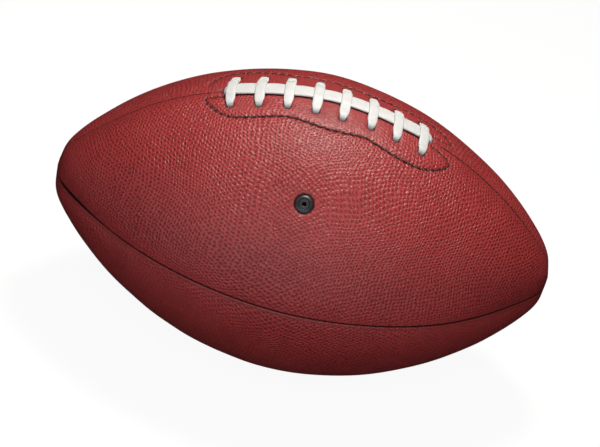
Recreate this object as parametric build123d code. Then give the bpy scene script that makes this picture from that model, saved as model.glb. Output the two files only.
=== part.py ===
from build123d import *
import os
from math import comb, cos, hypot, pi, radians, sin

import numpy as np

os.makedirs("parts", exist_ok=True)

# ---------------------------------------------------------------------------
# American football, millimetres.
# Origin at the middle of the ball, +X along the long axis, +Z up through the
# lacing. The four panels meet at seams on +Z (laced), -Y, -Z and +Y.
# "front" is the -Y side, "back" is the +Y side.
# ---------------------------------------------------------------------------

# outline of the ball: half length, belly radius and the five free numbers of
# the quintic curve from the belly to the tip
HALF_LENGTH = 142.8
BELLY_R = 85.2
BELLY_PULL = 0.2528
SHOULDER_X = 0.869
SHOULDER_R = 0.8345
NOSE_X = 0.857
NOSE_R = 0.1014
TIP_PULL = 0.3776

# cover
LEATHER = 2.0              # panel thickness
LAYER_GAP = 0.1            # between one layer and the next
LINING_IN = 2.9            # depth of the lining's inner face
FLANGE_DEPTH = 7.5         # depth of the turned-in seam allowance
FLANGE_T = 2.0             # its thickness, one leather
FLANGE_END = 125.0         # the allowance is skived away past this x
GROOVE_HALF = 0.45         # half width of the seam groove
GROOVE_DEPTH = 1.1
GROOVE_END = 134.0         # the groove closes up at the tips

# lacing
LACE_MID = -1.9            # x of the middle of the lacing
LACE_PITCH = 15.35         # from one cross to the next
CROSSES = 8
HOLE_R = 2.6
# a ball laced by hand: each cross's own place. From the seam to its front and
# back hole along the leather, and how far each end leans along the ball
FRONT_ARC = [12.3, 12.1, 11.7, 12.9, 13.6, 13.2, 14.1, 14.6]
BACK_ARC = [15.0, 15.3, 16.1, 15.9, 14.7, 13.7, 11.4, 10.8]
FRONT_LEAN = [-0.6, -0.6, -0.6, -0.3, -0.5, 0.4, 0.0, 0.3]
BACK_LEAN = [0.0, -0.4, -0.8, -0.4, -0.9, -0.7, -1.5, -1.9]
SLIT_X = [-60.0, 54.8]     # ends of the slit under the lacing
SLOT_X = [-65.9, 62.1]     # the seam allowance stops here
SLIT_HALF_W = 0.5
SLIT_END_R = 2.3
LACE_W = 5.7               # a cross, flat
LACE_NECK_W = 4.2          # folded where it goes through a hole
LACE_T = 1.75
RUN_W = 8.0                # the long run on the seam
RUN_T = 1.5
RUN_LINE = [               # its middle line, bowed towards the back (x, y)
    (-60.0, 0.1), (-49.0, 0.45), (-33.0, 1.1), (-19.0, 1.75), (-2.0, 2.2),
    (13.0, 1.5), (27.0, 1.1), (42.0, 0.2), (54.8, 0.0),
]
RUN_NECK_R = 2.0
UNDER_OUT = 4.0            # depth of the runs under the facing
UNDER_IN = 5.6

# facing, tongue
FACING_IN = 3.4
TONGUE_OUT = 6.0
TONGUE_IN = 7.2
TONGUE_HALF_LEN = 62.0
TONGUE_HALF_W = 22.0

# threads
STITCH_PITCH = 4.5
STITCH_GAP = 0.9
STITCH_T = 0.8
SEAM_PITCH = 4.5
SEAM_THREAD_R = 0.35
SEAM_THREAD_DEPTH = 4.75

# bladder
BLADDER_OUT = 3.1
BLADDER_T = 0.8
POCKET_DEPTH = 7.5
SLOT_DEPTH = 8.0
SLOT_HALF = 3.2

# inflation valve, in the front upper panel
VALVE_X = -4.9
VALVE_ANGLE = 47.3         # from the lacing, towards the front
STEM_R = 5.15
STEM_HOLE_R = 5.35
STEM_DEPTH = 14.0
CORE_R = 2.95
CORE_BORE_R = 3.0
CORE_TOP = 0.25            # the core's top lies this far below the leather
CORE_DEPTH = 12.4
NEEDLE_R = 1.1
BASE_R = 13.0
PATCH_R = 17.0


# ---------------------------------------------------------------- the outline
CTRL = [
    (0.0, BELLY_R),
    (BELLY_PULL * HALF_LENGTH, BELLY_R),
    (SHOULDER_X * HALF_LENGTH, SHOULDER_R * BELLY_R),
    (NOSE_X * HALF_LENGTH, NOSE_R * BELLY_R),
    (HALF_LENGTH, TIP_PULL * BELLY_R),
    (HALF_LENGTH, 0.0),
]


def bez(pts, t):
    n = len(pts) - 1
    w = [comb(n, i) * t**i * (1 - t) ** (n - i) for i in range(n + 1)]
    return (
        sum(k * p[0] for k, p in zip(w, pts)),
        sum(k * p[1] for k, p in zip(w, pts)),
    )


def outline(u, depth=0.0):
    """(x, r) on the outline at u from -1 (left tip) to 1 (right tip), depth
    below the outer surface, and the outward unit normal there."""
    t = abs(u)
    x, r = bez(CTRL, t)
    d = [(q[0] - p[0], q[1] - p[1]) for p, q in zip(CTRL, CTRL[1:])]
    dx, dr = bez(d, t)
    m = hypot(dx, dr)
    nx, nr = -dr / m, dx / m
    x, r = x - depth * nx, r - depth * nr
    s = -1.0 if u < 0 else 1.0
    return (s * x, r), (s * nx, nr)


def u_at(x, depth=0.0):
    lo, hi = -1.0, 1.0
    for _ in range(60):
        mid = (lo + hi) / 2
        if outline(mid, depth)[0][0] < x:
            lo = mid
        else:
            hi = mid
    return (lo + hi) / 2


def curve(depth, xa, xb, n=17):
    """Points (x, r) of the outline at a depth, left to right."""
    ua, ub = u_at(xa, depth), u_at(xb, depth)
    return [outline(ua + (ub - ua) * i / (n - 1), depth)[0] for i in range(n)]


def quarter_poles(depth, degree=8, rounds=12):
    """Control points of one smooth curve on the outline at a depth, from the
    belly to the right tip: level at the belly, square to the axis at the tip."""
    if depth == 0.0:
        return CTRL
    goal = np.array([outline(i / 120, depth)[0] for i in range(121)])
    t = np.linspace(0, 1, 121)
    belly, nose = goal[0][1], goal[-1][0]
    k = degree
    for _ in range(rounds):
        w = np.array([[comb(k, i) * u**i * (1 - u) ** (k - i) for i in range(k + 1)] for u in t])
        # x: the first pole is 0, the last two share the tip's x
        px = np.linalg.lstsq(w[:, 1:k - 1], goal[:, 0] - nose * (w[:, k - 1] + w[:, k]), rcond=None)[0]
        # r: the first two poles share the belly's radius, the last is 0
        pr = np.linalg.lstsq(w[:, 2:k], goal[:, 1] - belly * (w[:, 0] + w[:, 1]), rcond=None)[0]
        poles = np.column_stack([
            np.concatenate([[0.0], px, [nose, nose]]),
            np.concatenate([[belly, belly], pr, [0.0]]),
        ])
        now = w @ poles
        v = np.array([[comb(k - 1, i) * u**i * (1 - u) ** (k - 1 - i) for i in range(k)] for u in t])
        d = v @ (k * np.diff(poles, axis=0))
        t = np.clip(t + ((goal - now) * d).sum(1) / (d * d).sum(1), 0, 1)
        t[0], t[-1] = 0.0, 1.0
    return [tuple(p) for p in poles]


def xz(p):
    return (float(p[0]), 0.0, float(p[1]))


def halves(depth):
    """Left and right edges of the outline at a depth, tip to tip, and its tips."""
    poles = quarter_poles(depth)
    right = Edge.make_bezier(*[xz(p) for p in poles])
    left = Edge.make_bezier(*[xz((-p[0], p[1])) for p in reversed(poles)])
    return left, right, xz((-poles[-1][0], 0)), xz(poles[-1])


def strip(outer, inner, xa=None, xb=None):
    """Flat face in the XZ plane between two depths of the outline."""
    if xa is None:
        lo, ro, to, po = halves(outer)
        li, ri, ti, pi_ = halves(inner)
        return Face(Wire([lo, ro, Edge.make_line(po, pi_), ri, li, Edge.make_line(ti, to)]))
    a, b = curve(outer, xa, xb), curve(inner, xa, xb)
    ea = Edge.make_spline([Vector(*xz(p)) for p in a])
    eb = Edge.make_spline([Vector(*xz(p)) for p in b])
    la = Edge.make_line(xz(a[0]), xz(b[0]))
    lb = Edge.make_line(xz(a[-1]), xz(b[-1]))
    return Face(Wire([ea, lb, eb, la]))


def full(depth):
    """Flat face in the XZ plane from the axis up to a depth of the outline."""
    lo, ro, to, po = halves(depth)
    return Face(Wire([lo, ro, Edge.make_line(po, to)]))


def shell(outer, inner, start=0.0, sweep=90.0, xa=None, xb=None):
    """Layer between two depths, from an angle (0 is +Z, 90 is -Y)."""
    s = revolve(strip(outer, inner, xa, xb), Axis.X, sweep)
    return s.rotate(Axis.X, start)


def plate(outer, inner, y0, y1, xa=None, xb=None):
    """Plate on the +Z seam plane between two depths, from y0 to y1."""
    f = strip(outer, inner, xa, xb)
    return extrude(f, y1 - y0, dir=(0, 1, 0)).translate((0, y0, 0))


def prism(points, z0=30.0, z1=110.0):
    """Straight prism on a plan outline [(x, y), ...]."""
    w = Wire.make_polygon([(x, y, z0) for x, y in points], close=True)
    return extrude(Face(w), z1 - z0, dir=(0, 0, 1))


def rod(point, axis, radius, above, below):
    """Cylinder on an axis through a point, from above it to below it."""
    base = Plane(origin=Vector(*point) - Vector(*axis) * below, z_dir=axis)
    return base * Cylinder(radius, above + below, align=(Align.CENTER, Align.CENTER, Align.MIN))


def solid(shape):
    """The one solid of a result."""
    got = shape.solids() if hasattr(shape, "solids") else ShapeList(shape).solids()
    return got[0] if len(got) == 1 else Compound(children=list(got))


# ------------------------------------------------------- frames of the lacing
def cross_frame(x, lean=0.0):
    """Point on the seam, tangent along the seam, normal, radius across there
    and the direction across, the last one turned by the lean (dx per mm)."""
    (px, r), (nx, nr) = outline(u_at(x))
    m = hypot(1.0, lean)
    c, k = 1.0 / m, lean / m
    t = (nr * c, -k, -nx * c)
    b = (nr * k, c, -nx * k)
    return (px, 0.0, r), t, (nx, 0.0, nr), r / nr, b


def across(frame, arc, height):
    """Point over the leather at an arc length from the seam (+ is +Y)."""
    p, t, n, big, b = frame
    a = arc / big
    y = (big + height) * sin(a)
    h = (big + height) * cos(a) - big
    return tuple(p[i] + n[i] * h + b[i] * y for i in range(3))


def across_axis(frame, arc):
    p, t, n, big, b = frame
    a = arc / big
    return tuple(n[i] * cos(a) + b[i] * sin(a) for i in range(3))


CROSS_X, FRAMES = [], []
for i in range(CROSSES):
    lean = (BACK_LEAN[i] - FRONT_LEAN[i]) / (BACK_ARC[i] + FRONT_ARC[i])
    CROSS_X.append(LACE_MID + LACE_PITCH * (i - (CROSSES - 1) / 2) + FRONT_LEAN[i] + lean * FRONT_ARC[i])
    FRAMES.append(cross_frame(CROSS_X[i], lean))
SLIT_FRAMES = [cross_frame(x) for x in SLIT_X]


def run_y(x):
    """Middle of the long run at x."""
    return float(np.interp(x, [p[0] for p in RUN_LINE], [p[1] for p in RUN_LINE]))


def on_ball(x, arc, height=0.0):
    """Point and normal on the ball at x, arc length from the +Z seam (+ is -Y)."""
    (px, r), (nx, nr) = outline(u_at(x))
    a = arc / r
    n = (nx, -nr * sin(a), nr * cos(a))
    return (px + n[0] * height, -r * sin(a) + n[1] * height, r * cos(a) + n[2] * height), n


# ------------------------------------------------------------------ the valve
(vx, vr), (vnx, vnr) = outline(u_at(VALVE_X))
va = radians(VALVE_ANGLE)
VALVE_P = (vx, -vr * sin(va), vr * cos(va))
VALVE_N = (vnx, -vnr * sin(va), vnr * cos(va))

# --------------------------------------------------------------- cover panels
quarter = shell(0.0, LEATHER)
flange_in = plate(LEATHER - 0.5, FLANGE_DEPTH, -FLANGE_T, 0.0, -FLANGE_END, FLANGE_END)
flange_back = plate(LEATHER - 0.5, FLANGE_DEPTH, 0.0, FLANGE_T, -FLANGE_END, FLANGE_END)
flange_l = plate(LEATHER - 0.5, FLANGE_DEPTH, -FLANGE_T, 0.0, -FLANGE_END, SLOT_X[0])
flange_r = plate(LEATHER - 0.5, FLANGE_DEPTH, -FLANGE_T, 0.0, SLOT_X[1], FLANGE_END)
groove = plate(-0.6, GROOVE_DEPTH, -GROOVE_HALF, GROOVE_HALF, -GROOVE_END, GROOVE_END)
slit = plate(-0.6, LEATHER + 0.6, -SLIT_HALF_W, SLIT_HALF_W, SLIT_X[0], SLIT_X[1])

lower = (
    quarter
    + flange_in
    + flange_back.rotate(Axis.X, 90)
    - groove
    - groove.rotate(Axis.X, 90)
)

front_holes = [rod(across(f, -a, 0), across_axis(f, -a), HOLE_R, 3, 5) for f, a in zip(FRAMES, FRONT_ARC)]
back_holes = [rod(across(f, a, 0), across_axis(f, a), HOLE_R, 3, 5) for f, a in zip(FRAMES, BACK_ARC)]
slit_ends = [rod(f[0], f[2], SLIT_END_R, 3, 9) for f in SLIT_FRAMES]
stem_hole = rod(VALVE_P, VALVE_N, STEM_HOLE_R, 4, 5)

upper = (
    quarter
    + flange_l
    + flange_r
    + flange_back.rotate(Axis.X, 90)
    - groove
    - groove.rotate(Axis.X, 90)
    - slit
    - slit_ends
)
upper_plain = solid(upper)
valve_side_panel = solid(upper_plain - front_holes - [stem_hole])
lace_side_panel = solid(upper_plain.mirror(Plane.XZ) - back_holes)
lower_front_panel = solid(solid(lower).rotate(Axis.X, 90))
lower_back_panel = solid(solid(lower).rotate(Axis.X, 180))

# -------------------------------------------------- facing behind the lacing
FRONT_FACING = [
    (-76.0, 4.0), (-71.5, 11.5), (-67.0, 17.2), (-61.5, 21.9), (-55.5, 24.6), (-45.0, 25.4),
    (-24.0, 24.2), (-10.0, 26.2), (0.0, 27.2), (8.0, 27.2), (20.0, 26.2), (30.0, 27.8),
    (40.0, 29.5), (48.0, 29.4), (55.0, 28.0), (60.5, 25.4), (65.5, 21.3), (70.0, 16.0),
    (72.8, 10.0), (71.5, 4.8), (68.0, 2.5), (61.0, 2.5), (61.0, 0.8), (-65.0, 0.8), (-65.0, 2.5),
]
BACK_FACING = [
    (-76.0, 4.0), (-73.0, 12.0), (-69.5, 18.6), (-64.5, 23.2), (-60.0, 26.4), (-52.0, 29.0),
    (-44.0, 29.2), (-33.0, 28.4), (-26.0, 26.4), (-9.0, 26.6), (0.0, 25.8), (9.0, 24.2),
    (20.0, 22.8), (31.0, 22.6), (46.0, 22.8), (54.0, 22.2), (60.5, 20.2), (66.5, 16.6),
    (71.5, 11.5), (72.5, 7.0), (70.0, 2.5), (61.0, 2.5), (61.0, 0.8), (-65.0, 0.8), (-65.0, 2.5),
]
FRONT_CUT = [
    (-77.5, 2.0), (-77.5, 6.0), (-72.8, 12.6), (-68.0, 18.4), (-62.2, 23.1), (-55.8, 25.9), (-45.0, 26.7),
    (-24.0, 25.6), (-10.0, 27.5), (0.0, 28.5), (8.0, 28.5), (20.0, 27.5), (30.0, 29.1), (40.0, 30.8),
    (48.3, 30.7), (55.5, 29.2), (61.2, 26.5), (66.4, 22.2), (71.1, 16.7), (75.0, 10.5), (75.5, 6.0),
    (75.5, 0.0), (-77.5, 0.0),
]
BACK_CUT = [
    (-77.5, 2.0), (-77.5, 6.0), (-74.4, 12.8), (-70.6, 19.6), (-65.4, 24.4), (-60.6, 27.6), (-52.2, 30.3),
    (-43.8, 30.5), (-32.6, 29.7), (-25.8, 27.7), (-9.0, 27.9), (0.2, 27.1), (9.2, 25.5), (20.0, 24.1),
    (31.0, 23.9), (46.2, 24.1), (54.4, 23.5), (61.2, 21.4), (67.5, 17.6), (73.2, 12.0), (75.5, 6.0),
    (75.5, 0.0), (-77.5, 0.0),
]
facing_layer = shell(LEATHER + LAYER_GAP, FACING_IN, 0.0, 34.0, -90, 90)
front_lace_facing = solid(
    (facing_layer & prism([(x, -y) for x, y in FRONT_FACING])) - front_holes - slit_ends
)
back_lace_facing = solid(
    (facing_layer.mirror(Plane.XZ) & prism(BACK_FACING)) - back_holes - slit_ends
)

# -------------------------------------------------------------------- linings
slab_y = Box(320, 2 * (FLANGE_T + 0.3), 260)
slab_z = Box(320, 260, 2 * (FLANGE_T + 0.3))
lining = solid(shell(LEATHER + LAYER_GAP, LINING_IN) - slab_y - slab_z)
cut_front = prism([(x, -y) for x, y in FRONT_CUT])
cut_back = prism(BACK_CUT)
stem_clear = rod(VALVE_P, VALVE_N, STEM_HOLE_R + 0.2, 4, 6)
valve_side_lining = solid(lining - cut_front - stem_clear)
lace_side_lining = solid(lining.mirror(Plane.XZ) - cut_back)
lower_front_lining = solid(lining.rotate(Axis.X, 90))
lower_back_lining = solid(lining.rotate(Axis.X, 180))

# ------------------------------------------------------------ facing stitches
FRONT_LINE = [  # (x, arc from the seam)
    (-60.5, 4.7), (-65.1, 4.8), (-68.9, 5.1), (-70.0, 6.6), (-64.3, 14.3), (-59.4, 18.8), (-54.8, 21.1),
    (-49.2, 22.1), (-40.6, 21.6), (-31.9, 20.3), (-23.5, 19.8), (-14.2, 21.6), (-10.1, 22.7), (-1.7, 23.8),
    (7.2, 23.6), (15.8, 22.4), (20.3, 22.0), (24.2, 23.1), (29.0, 24.3), (37.7, 26.0), (46.4, 26.3),
    (52.0, 25.5), (56.6, 23.6), (61.2, 20.7), (65.6, 16.5), (68.6, 11.9), (68.5, 9.4), (66.6, 7.6),
    (61.8, 5.8), (57.6, 5.0),
]
BACK_LINE = [
    (-69.8, 8.5), (-68.2, 12.6), (-65.4, 17.2), (-62.3, 20.3), (-58.7, 23.2), (-52.5, 25.6), (-46.5, 26.0),
    (-40.8, 25.5), (-33.0, 24.9), (-26.8, 23.0), (-20.1, 22.7), (-9.0, 22.9), (0.0, 22.0), (9.0, 20.4),
    (18.4, 19.3), (23.1, 18.7), (31.7, 18.9), (44.7, 19.2), (52.8, 18.6), (57.9, 17.3), (62.0, 15.8),
    (66.2, 12.6), (69.2, 9.2), (68.5, 7.2), (63.7, 6.0), (57.4, 4.8),
]


def resample(pts, pitch):
    """Points a pitch apart along a smooth line through pts."""
    fine = []
    for i in range(len(pts) - 1):
        p0, p1 = pts[max(i - 1, 0)], pts[i]
        p2, p3 = pts[i + 1], pts[min(i + 2, len(pts) - 1)]
        for k in range(24):
            t = k / 24
            fine.append(tuple(
                0.5 * (2 * b + (c - a) * t + (2 * a - 5 * b + 4 * c - d) * t**2 + (3 * b - a - 3 * c + d) * t**3)
                for a, b, c, d in zip(p0, p1, p2, p3)))
    fine.append(pts[-1])
    run = [0.0]
    for p, q in zip(fine, fine[1:]):
        run.append(run[-1] + hypot(q[0] - p[0], q[1] - p[1]))
    count = max(2, round(run[-1] / pitch))
    out, j = [], 0
    for i in range(count + 1):
        want = run[-1] * i / count
        while j < len(run) - 2 and run[j + 1] < want:
            j += 1
        f = (want - run[j]) / max(run[j + 1] - run[j], 1e-9)
        out.append(tuple(a + (b - a) * f for a, b in zip(fine[j], fine[j + 1])))
    return out


def staple(p, q):
    """One stitch between two needle holes: a dash on the leather, two legs."""
    (a, na), (b, nb) = on_ball(*p), on_ball(*q)
    va, vb = Vector(*a), Vector(*b)
    t = (vb - va)
    length = t.length
    t = t.normalized()
    n = (Vector(*na) + Vector(*nb))
    n = (n - t * n.dot(t)).normalized()
    mid = (va + vb) * 0.5
    h = (length - STITCH_GAP) / 2
    top, low, end = 0.4, 0.4 - STITCH_T, -3.7
    k = STITCH_T
    pts = [(-h, end), (-h, top - 0.25), (-h + 0.25, top), (h - 0.25, top), (h, top - 0.25), (h, end),
           (h - k, end), (h - k, low), (-h + k, low), (-h + k, end)]
    side = n.cross(t)
    w = Wire.make_polygon([mid + t * x + n * y - side * (STITCH_T / 2) for x, y in pts], close=True)
    return extrude(Face(w), STITCH_T, dir=side)


def stitch_row(line):
    holes = resample(line, STITCH_PITCH)
    return [solid(staple(p, q)) for p, q in zip(holes, holes[1:])]


front_facing_stitches = Compound(children=stitch_row(FRONT_LINE))
back_facing_stitches = Compound(children=stitch_row([(x, -a) for x, a in BACK_LINE]))

# --------------------------------------------------------------- seam threads
def seam_thread(xa, xb):
    """Lockstitch on the +Z seam: a run on each side, rungs through the seam."""
    d = SEAM_THREAD_DEPTH
    side = plate(d - SEAM_THREAD_R, d + SEAM_THREAD_R, FLANGE_T + 0.02, FLANGE_T + 2 * SEAM_THREAD_R, xa, xb)
    body = [side, side.mirror(Plane.XZ)]
    pts = curve(d, xa + 1.0, xb - 1.0, 400)
    run = [0.0]
    for p, q in zip(pts, pts[1:]):
        run.append(run[-1] + hypot(q[0] - p[0], q[1] - p[1]))
    count = round(run[-1] / SEAM_PITCH)
    rungs, j = [], 0
    half = FLANGE_T + SEAM_THREAD_R
    for i in range(count + 1):
        want = run[-1] * i / count
        while j < len(run) - 2 and run[j + 1] < want:
            j += 1
        f = (want - run[j]) / max(run[j + 1] - run[j], 1e-9)
        x = pts[j][0] + (pts[j + 1][0] - pts[j][0]) * f
        z = pts[j][1] + (pts[j + 1][1] - pts[j][1]) * f
        rungs.append(Plane(origin=(x, 0, z), z_dir=(0, 1, 0)) * Cylinder(SEAM_THREAD_R * 0.9, 2 * half))
    return solid(body[0] + body[1:] + rungs)


long_thread = seam_thread(-FLANGE_END + 3, FLANGE_END - 3)
front_seam_thread = long_thread.rotate(Axis.X, 90)
bottom_seam_thread = long_thread.rotate(Axis.X, 180)
back_seam_thread = long_thread.rotate(Axis.X, 270)
lace_seam_thread = Compound(children=[
    seam_thread(-FLANGE_END + 3, SLOT_X[0] - 1.0),
    seam_thread(SLOT_X[1] + 1.0, FLANGE_END - 3),
])

# ----------------------------------------------------------------------- lace
RUN_TOP = 0.1 + RUN_T


def cross_line(arc, edge):
    """Middle line of half a cross, as (arc, height) from the seam out: over the
    long run as far as its edge, down to the leather, then into the hole."""
    top, flat = RUN_TOP + 0.1 + LACE_T / 2, 0.1 + LACE_T / 2
    bend = 2.2
    pts = []
    end = arc - bend
    a0 = edge - 0.1
    a1 = min(a0 + 5.4, end - 0.3)
    for i in range(41):
        s = end * i / 40
        if s <= a0:
            h = top
        elif s >= a1:
            h = flat
        else:
            h = flat + (top - flat) * (1 + cos(pi * (s - a0) / (a1 - a0))) / 2
        pts.append((s, h))
    for i in range(1, 13):
        a = pi / 2 * i / 12
        pts.append((end + bend * sin(a), flat - bend * (1 - cos(a))))
    low = flat - bend
    for i in range(1, 9):
        pts.append((arc, low + (-UNDER_IN - low) * i / 8))
    return pts


def cross_halves(i):
    """Front and back half of cross i."""
    mid = run_y(CROSS_X[i])
    return cross_line(FRONT_ARC[i], RUN_W / 2 - mid), cross_line(BACK_ARC[i], RUN_W / 2 + mid)


def cross_lace(i):
    """One cross: flat over the leather and the long run, folded into its holes."""
    p, t, n, big, b = FRAMES[i]
    front, back = cross_halves(i)
    line = [(-s, h) for s, h in front[:0:-1]] + back
    flat = []
    for s, h in line:
        a = s / big
        flat.append(((big + h) * sin(a), (big + h) * cos(a) - big))
    outer, inner = [], []
    for k, (y, h) in enumerate(flat):
        q0, q1 = flat[max(k - 1, 0)], flat[min(k + 1, len(flat) - 1)]
        dy, dh = q1[0] - q0[0], q1[1] - q0[1]
        m = hypot(dy, dh)
        outer.append((y - dh / m * LACE_T / 2, h + dy / m * LACE_T / 2))
        inner.append((y + dh / m * LACE_T / 2, h - dy / m * LACE_T / 2))

    def at(y, h, side):
        return Vector(*[p[k] + n[k] * h + b[k] * y + t[k] * side for k in range(3)])

    w = LACE_W / 2
    eo = Edge.make_spline([at(y, h, -w) for y, h in outer])
    ei = Edge.make_spline([at(y, h, -w) for y, h in inner])
    l0 = Edge.make_line(at(*outer[0], -w), at(*inner[0], -w))
    l1 = Edge.make_line(at(*outer[-1], -w), at(*inner[-1], -w))
    strap = extrude(Face(Wire([eo, l1, ei, l0])), LACE_W, dir=t)
    k = LACE_NECK_W / 2
    fa, ba = FRONT_ARC[i], BACK_ARC[i]
    g = w + 0.6
    plan = [(-g, 8.3 - fa), (-k, 1.6 - fa), (-k, -20), (k, -20), (k, 1.6 - fa), (g, 8.3 - fa),
            (g, ba - 8.3), (k, ba - 1.6), (k, 20), (-k, 20), (-k, ba - 1.6), (-g, ba - 8.3)]
    pw = Wire.make_polygon([at(y, -12, s) for s, y in plan], close=True)
    return strap & extrude(Face(pw), 30, dir=n)


def band(a, b, half, grow=1.3):
    """Plan outline of a straight run from a to b, a little past both."""
    dx, dy = b[0] - a[0], b[1] - a[1]
    m = hypot(dx, dy)
    ux, uy = dx / m, dy / m
    a = (a[0] - ux * grow, a[1] - uy * grow)
    b = (b[0] + ux * grow, b[1] + uy * grow)
    return [(a[0] - uy * half, a[1] + ux * half), (b[0] - uy * half, b[1] + ux * half),
            (b[0] + uy * half, b[1] - ux * half), (a[0] + uy * half, a[1] - ux * half)]


deep = -(UNDER_OUT + UNDER_IN) / 2
near = [across(f, -a, deep)[:2] for f, a in zip(FRAMES, FRONT_ARC)]
far = [across(f, a, deep)[:2] for f, a in zip(FRAMES, BACK_ARC)]
ends = [(f[0][0] + f[2][0] * deep, 0.0) for f in SLIT_FRAMES]
under_layer = shell(UNDER_OUT, UNDER_IN, -22.0, 44.0, -85, 85)
runs = [band(far[i], near[i + 1], LACE_NECK_W / 2) for i in range(CROSSES - 1)]
runs.append(band(far[-1], ends[1], LACE_NECK_W / 2))
runs.append(band(ends[0], (ends[0][0] + 2.5, 8.5), LACE_NECK_W / 2))
runs.append(band(near[0], (near[0][0] - 7.4, near[0][1] + 3.4), LACE_NECK_W / 2, 1.6))
under = [under_layer & prism(r) for r in runs]
long_run = shell(-RUN_TOP, -0.1, -8.0, 16.0, -80, 80) & prism(
    [(x, y - RUN_W / 2) for x, y in RUN_LINE] + [(x, y + RUN_W / 2) for x, y in reversed(RUN_LINE)])
necks = [rod(f[0], f[2], RUN_NECK_R, RUN_TOP - 0.05, UNDER_IN - 0.05) for f in SLIT_FRAMES]
crosses = [cross_lace(i) for i in range(CROSSES)]
lace = solid(crosses[0] + crosses[1:] + under + [long_run] + necks)

# --------------------------------------------------------------------- tongue
c, w, e = LACE_MID, TONGUE_HALF_W, TONGUE_HALF_LEN
k = 8.0
tongue_plan = [(c - e, -w + k), (c - e + k, -w), (c + e - k, -w), (c + e, -w + k),
               (c + e, w - k), (c + e - k, w), (c - e + k, w), (c - e, w - k)]
lace_tongue = solid(shell(TONGUE_OUT, TONGUE_IN, -20.0, 40.0, -85, 85) & prism(tongue_plan))

# -------------------------------------------------------------------- bladder
def inflated(depth, grow):
    """Filled bladder: the round body, pressed in by the seams and the lacing."""
    body = revolve(full(depth), Axis.X, 360)
    slot = plate(0.0, SLOT_DEPTH + grow, -SLOT_HALF - grow, SLOT_HALF + grow, -FLANGE_END - 2 - grow, FLANGE_END + 2 + grow)
    slot_l = plate(0.0, SLOT_DEPTH + grow, -SLOT_HALF - grow, SLOT_HALF + grow, -FLANGE_END - 2 - grow, LACE_MID - 50)
    slot_r = plate(0.0, SLOT_DEPTH + grow, -SLOT_HALF - grow, SLOT_HALF + grow, LACE_MID + 50, FLANGE_END + 2 + grow)
    e, w = TONGUE_HALF_LEN + 16.0 + grow, TONGUE_HALF_W + 11.0 + grow
    k = 14.0
    plan = [(c - e, -w + k), (c - e + k, -w), (c + e - k, -w), (c + e, -w + k),
            (c + e, w - k), (c + e - k, w), (c - e + k, w), (c - e, w - k)]
    pocket = shell(-1.0, POCKET_DEPTH + grow, -36.0, 72.0, -95, 95) & prism(plan)
    return body - [slot.rotate(Axis.X, 90), slot.rotate(Axis.X, 180), slot.rotate(Axis.X, 270), slot_l, slot_r, pocket]


bladder = solid(
    inflated(BLADDER_OUT, 0.0)
    - inflated(BLADDER_OUT + BLADDER_T, BLADDER_T)
    - rod(VALVE_P, VALVE_N, STEM_HOLE_R, 4, 20)
)

# ---------------------------------------------------------------------- valve
patch_layer = shell(BLADDER_OUT + BLADDER_T + 0.05, BLADDER_OUT + BLADDER_T + 0.7)
base_layer = shell(BLADDER_OUT + BLADDER_T + 0.75, BLADDER_OUT + BLADDER_T + 2.0)
valve_patch = solid(
    (patch_layer & rod(VALVE_P, VALVE_N, PATCH_R, 5, 15)) - rod(VALVE_P, VALVE_N, STEM_HOLE_R, 5, 20)
)
stem = rod(VALVE_P, VALVE_N, STEM_R, 0.35, STEM_DEPTH)
stem = fillet(stem.edges().filter_by(GeomType.CIRCLE).sort_by(Axis(VALVE_P, VALVE_N))[-1:], 0.3)
valve_body = solid(
    stem
    + (base_layer & rod(VALVE_P, VALVE_N, BASE_R, 5, 15))
    - rod(VALVE_P, VALVE_N, CORE_BORE_R, 5, STEM_DEPTH + 5)
)
core = rod(VALVE_P, VALVE_N, CORE_R, -CORE_TOP, CORE_DEPTH)
core = fillet(core.edges().filter_by(GeomType.CIRCLE), 0.25)
valve_core = solid(core - rod(VALVE_P, VALVE_N, NEEDLE_R, 5, CORE_DEPTH + 5))

# ----------------------------------------------------------------------- save
NODES = {
    "valve_side_panel": valve_side_panel,
    "lace_side_panel": lace_side_panel,
    "lower_front_panel": lower_front_panel,
    "lower_back_panel": lower_back_panel,
    "valve_side_lining": valve_side_lining,
    "lace_side_lining": lace_side_lining,
    "lower_front_lining": lower_front_lining,
    "lower_back_lining": lower_back_lining,
    "front_lace_facing": front_lace_facing,
    "back_lace_facing": back_lace_facing,
    "front_facing_stitches": front_facing_stitches,
    "back_facing_stitches": back_facing_stitches,
    "lace_seam_thread": lace_seam_thread,
    "front_seam_thread": front_seam_thread,
    "back_seam_thread": back_seam_thread,
    "bottom_seam_thread": bottom_seam_thread,
    "lace": lace,
    "lace_tongue": lace_tongue,
    "bladder": bladder,
    "valve_patch": valve_patch,
    "valve_body": valve_body,
    "valve_core": valve_core,
}
for name, shape in NODES.items():
    export_step(shape, f"parts/{name}.step")

print("valve point", VALVE_P, "axis", VALVE_N)
length = 0.0
for i in range(CROSSES):
    for q in cross_halves(i):
        length += sum(hypot(b[0] - a[0], b[1] - a[1]) for a, b in zip(q, q[1:]))
length += sum(hypot(near[i + 1][0] - far[i][0], near[i + 1][1] - far[i][1]) for i in range(CROSSES - 1))
length += hypot(far[-1][0] - ends[1][0], far[-1][1] - ends[1][1]) + SLIT_X[1] - SLIT_X[0] + 2 * (UNDER_IN + RUN_TOP) + 9.0 + 9.0
print("lace length about", round(length))
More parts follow.
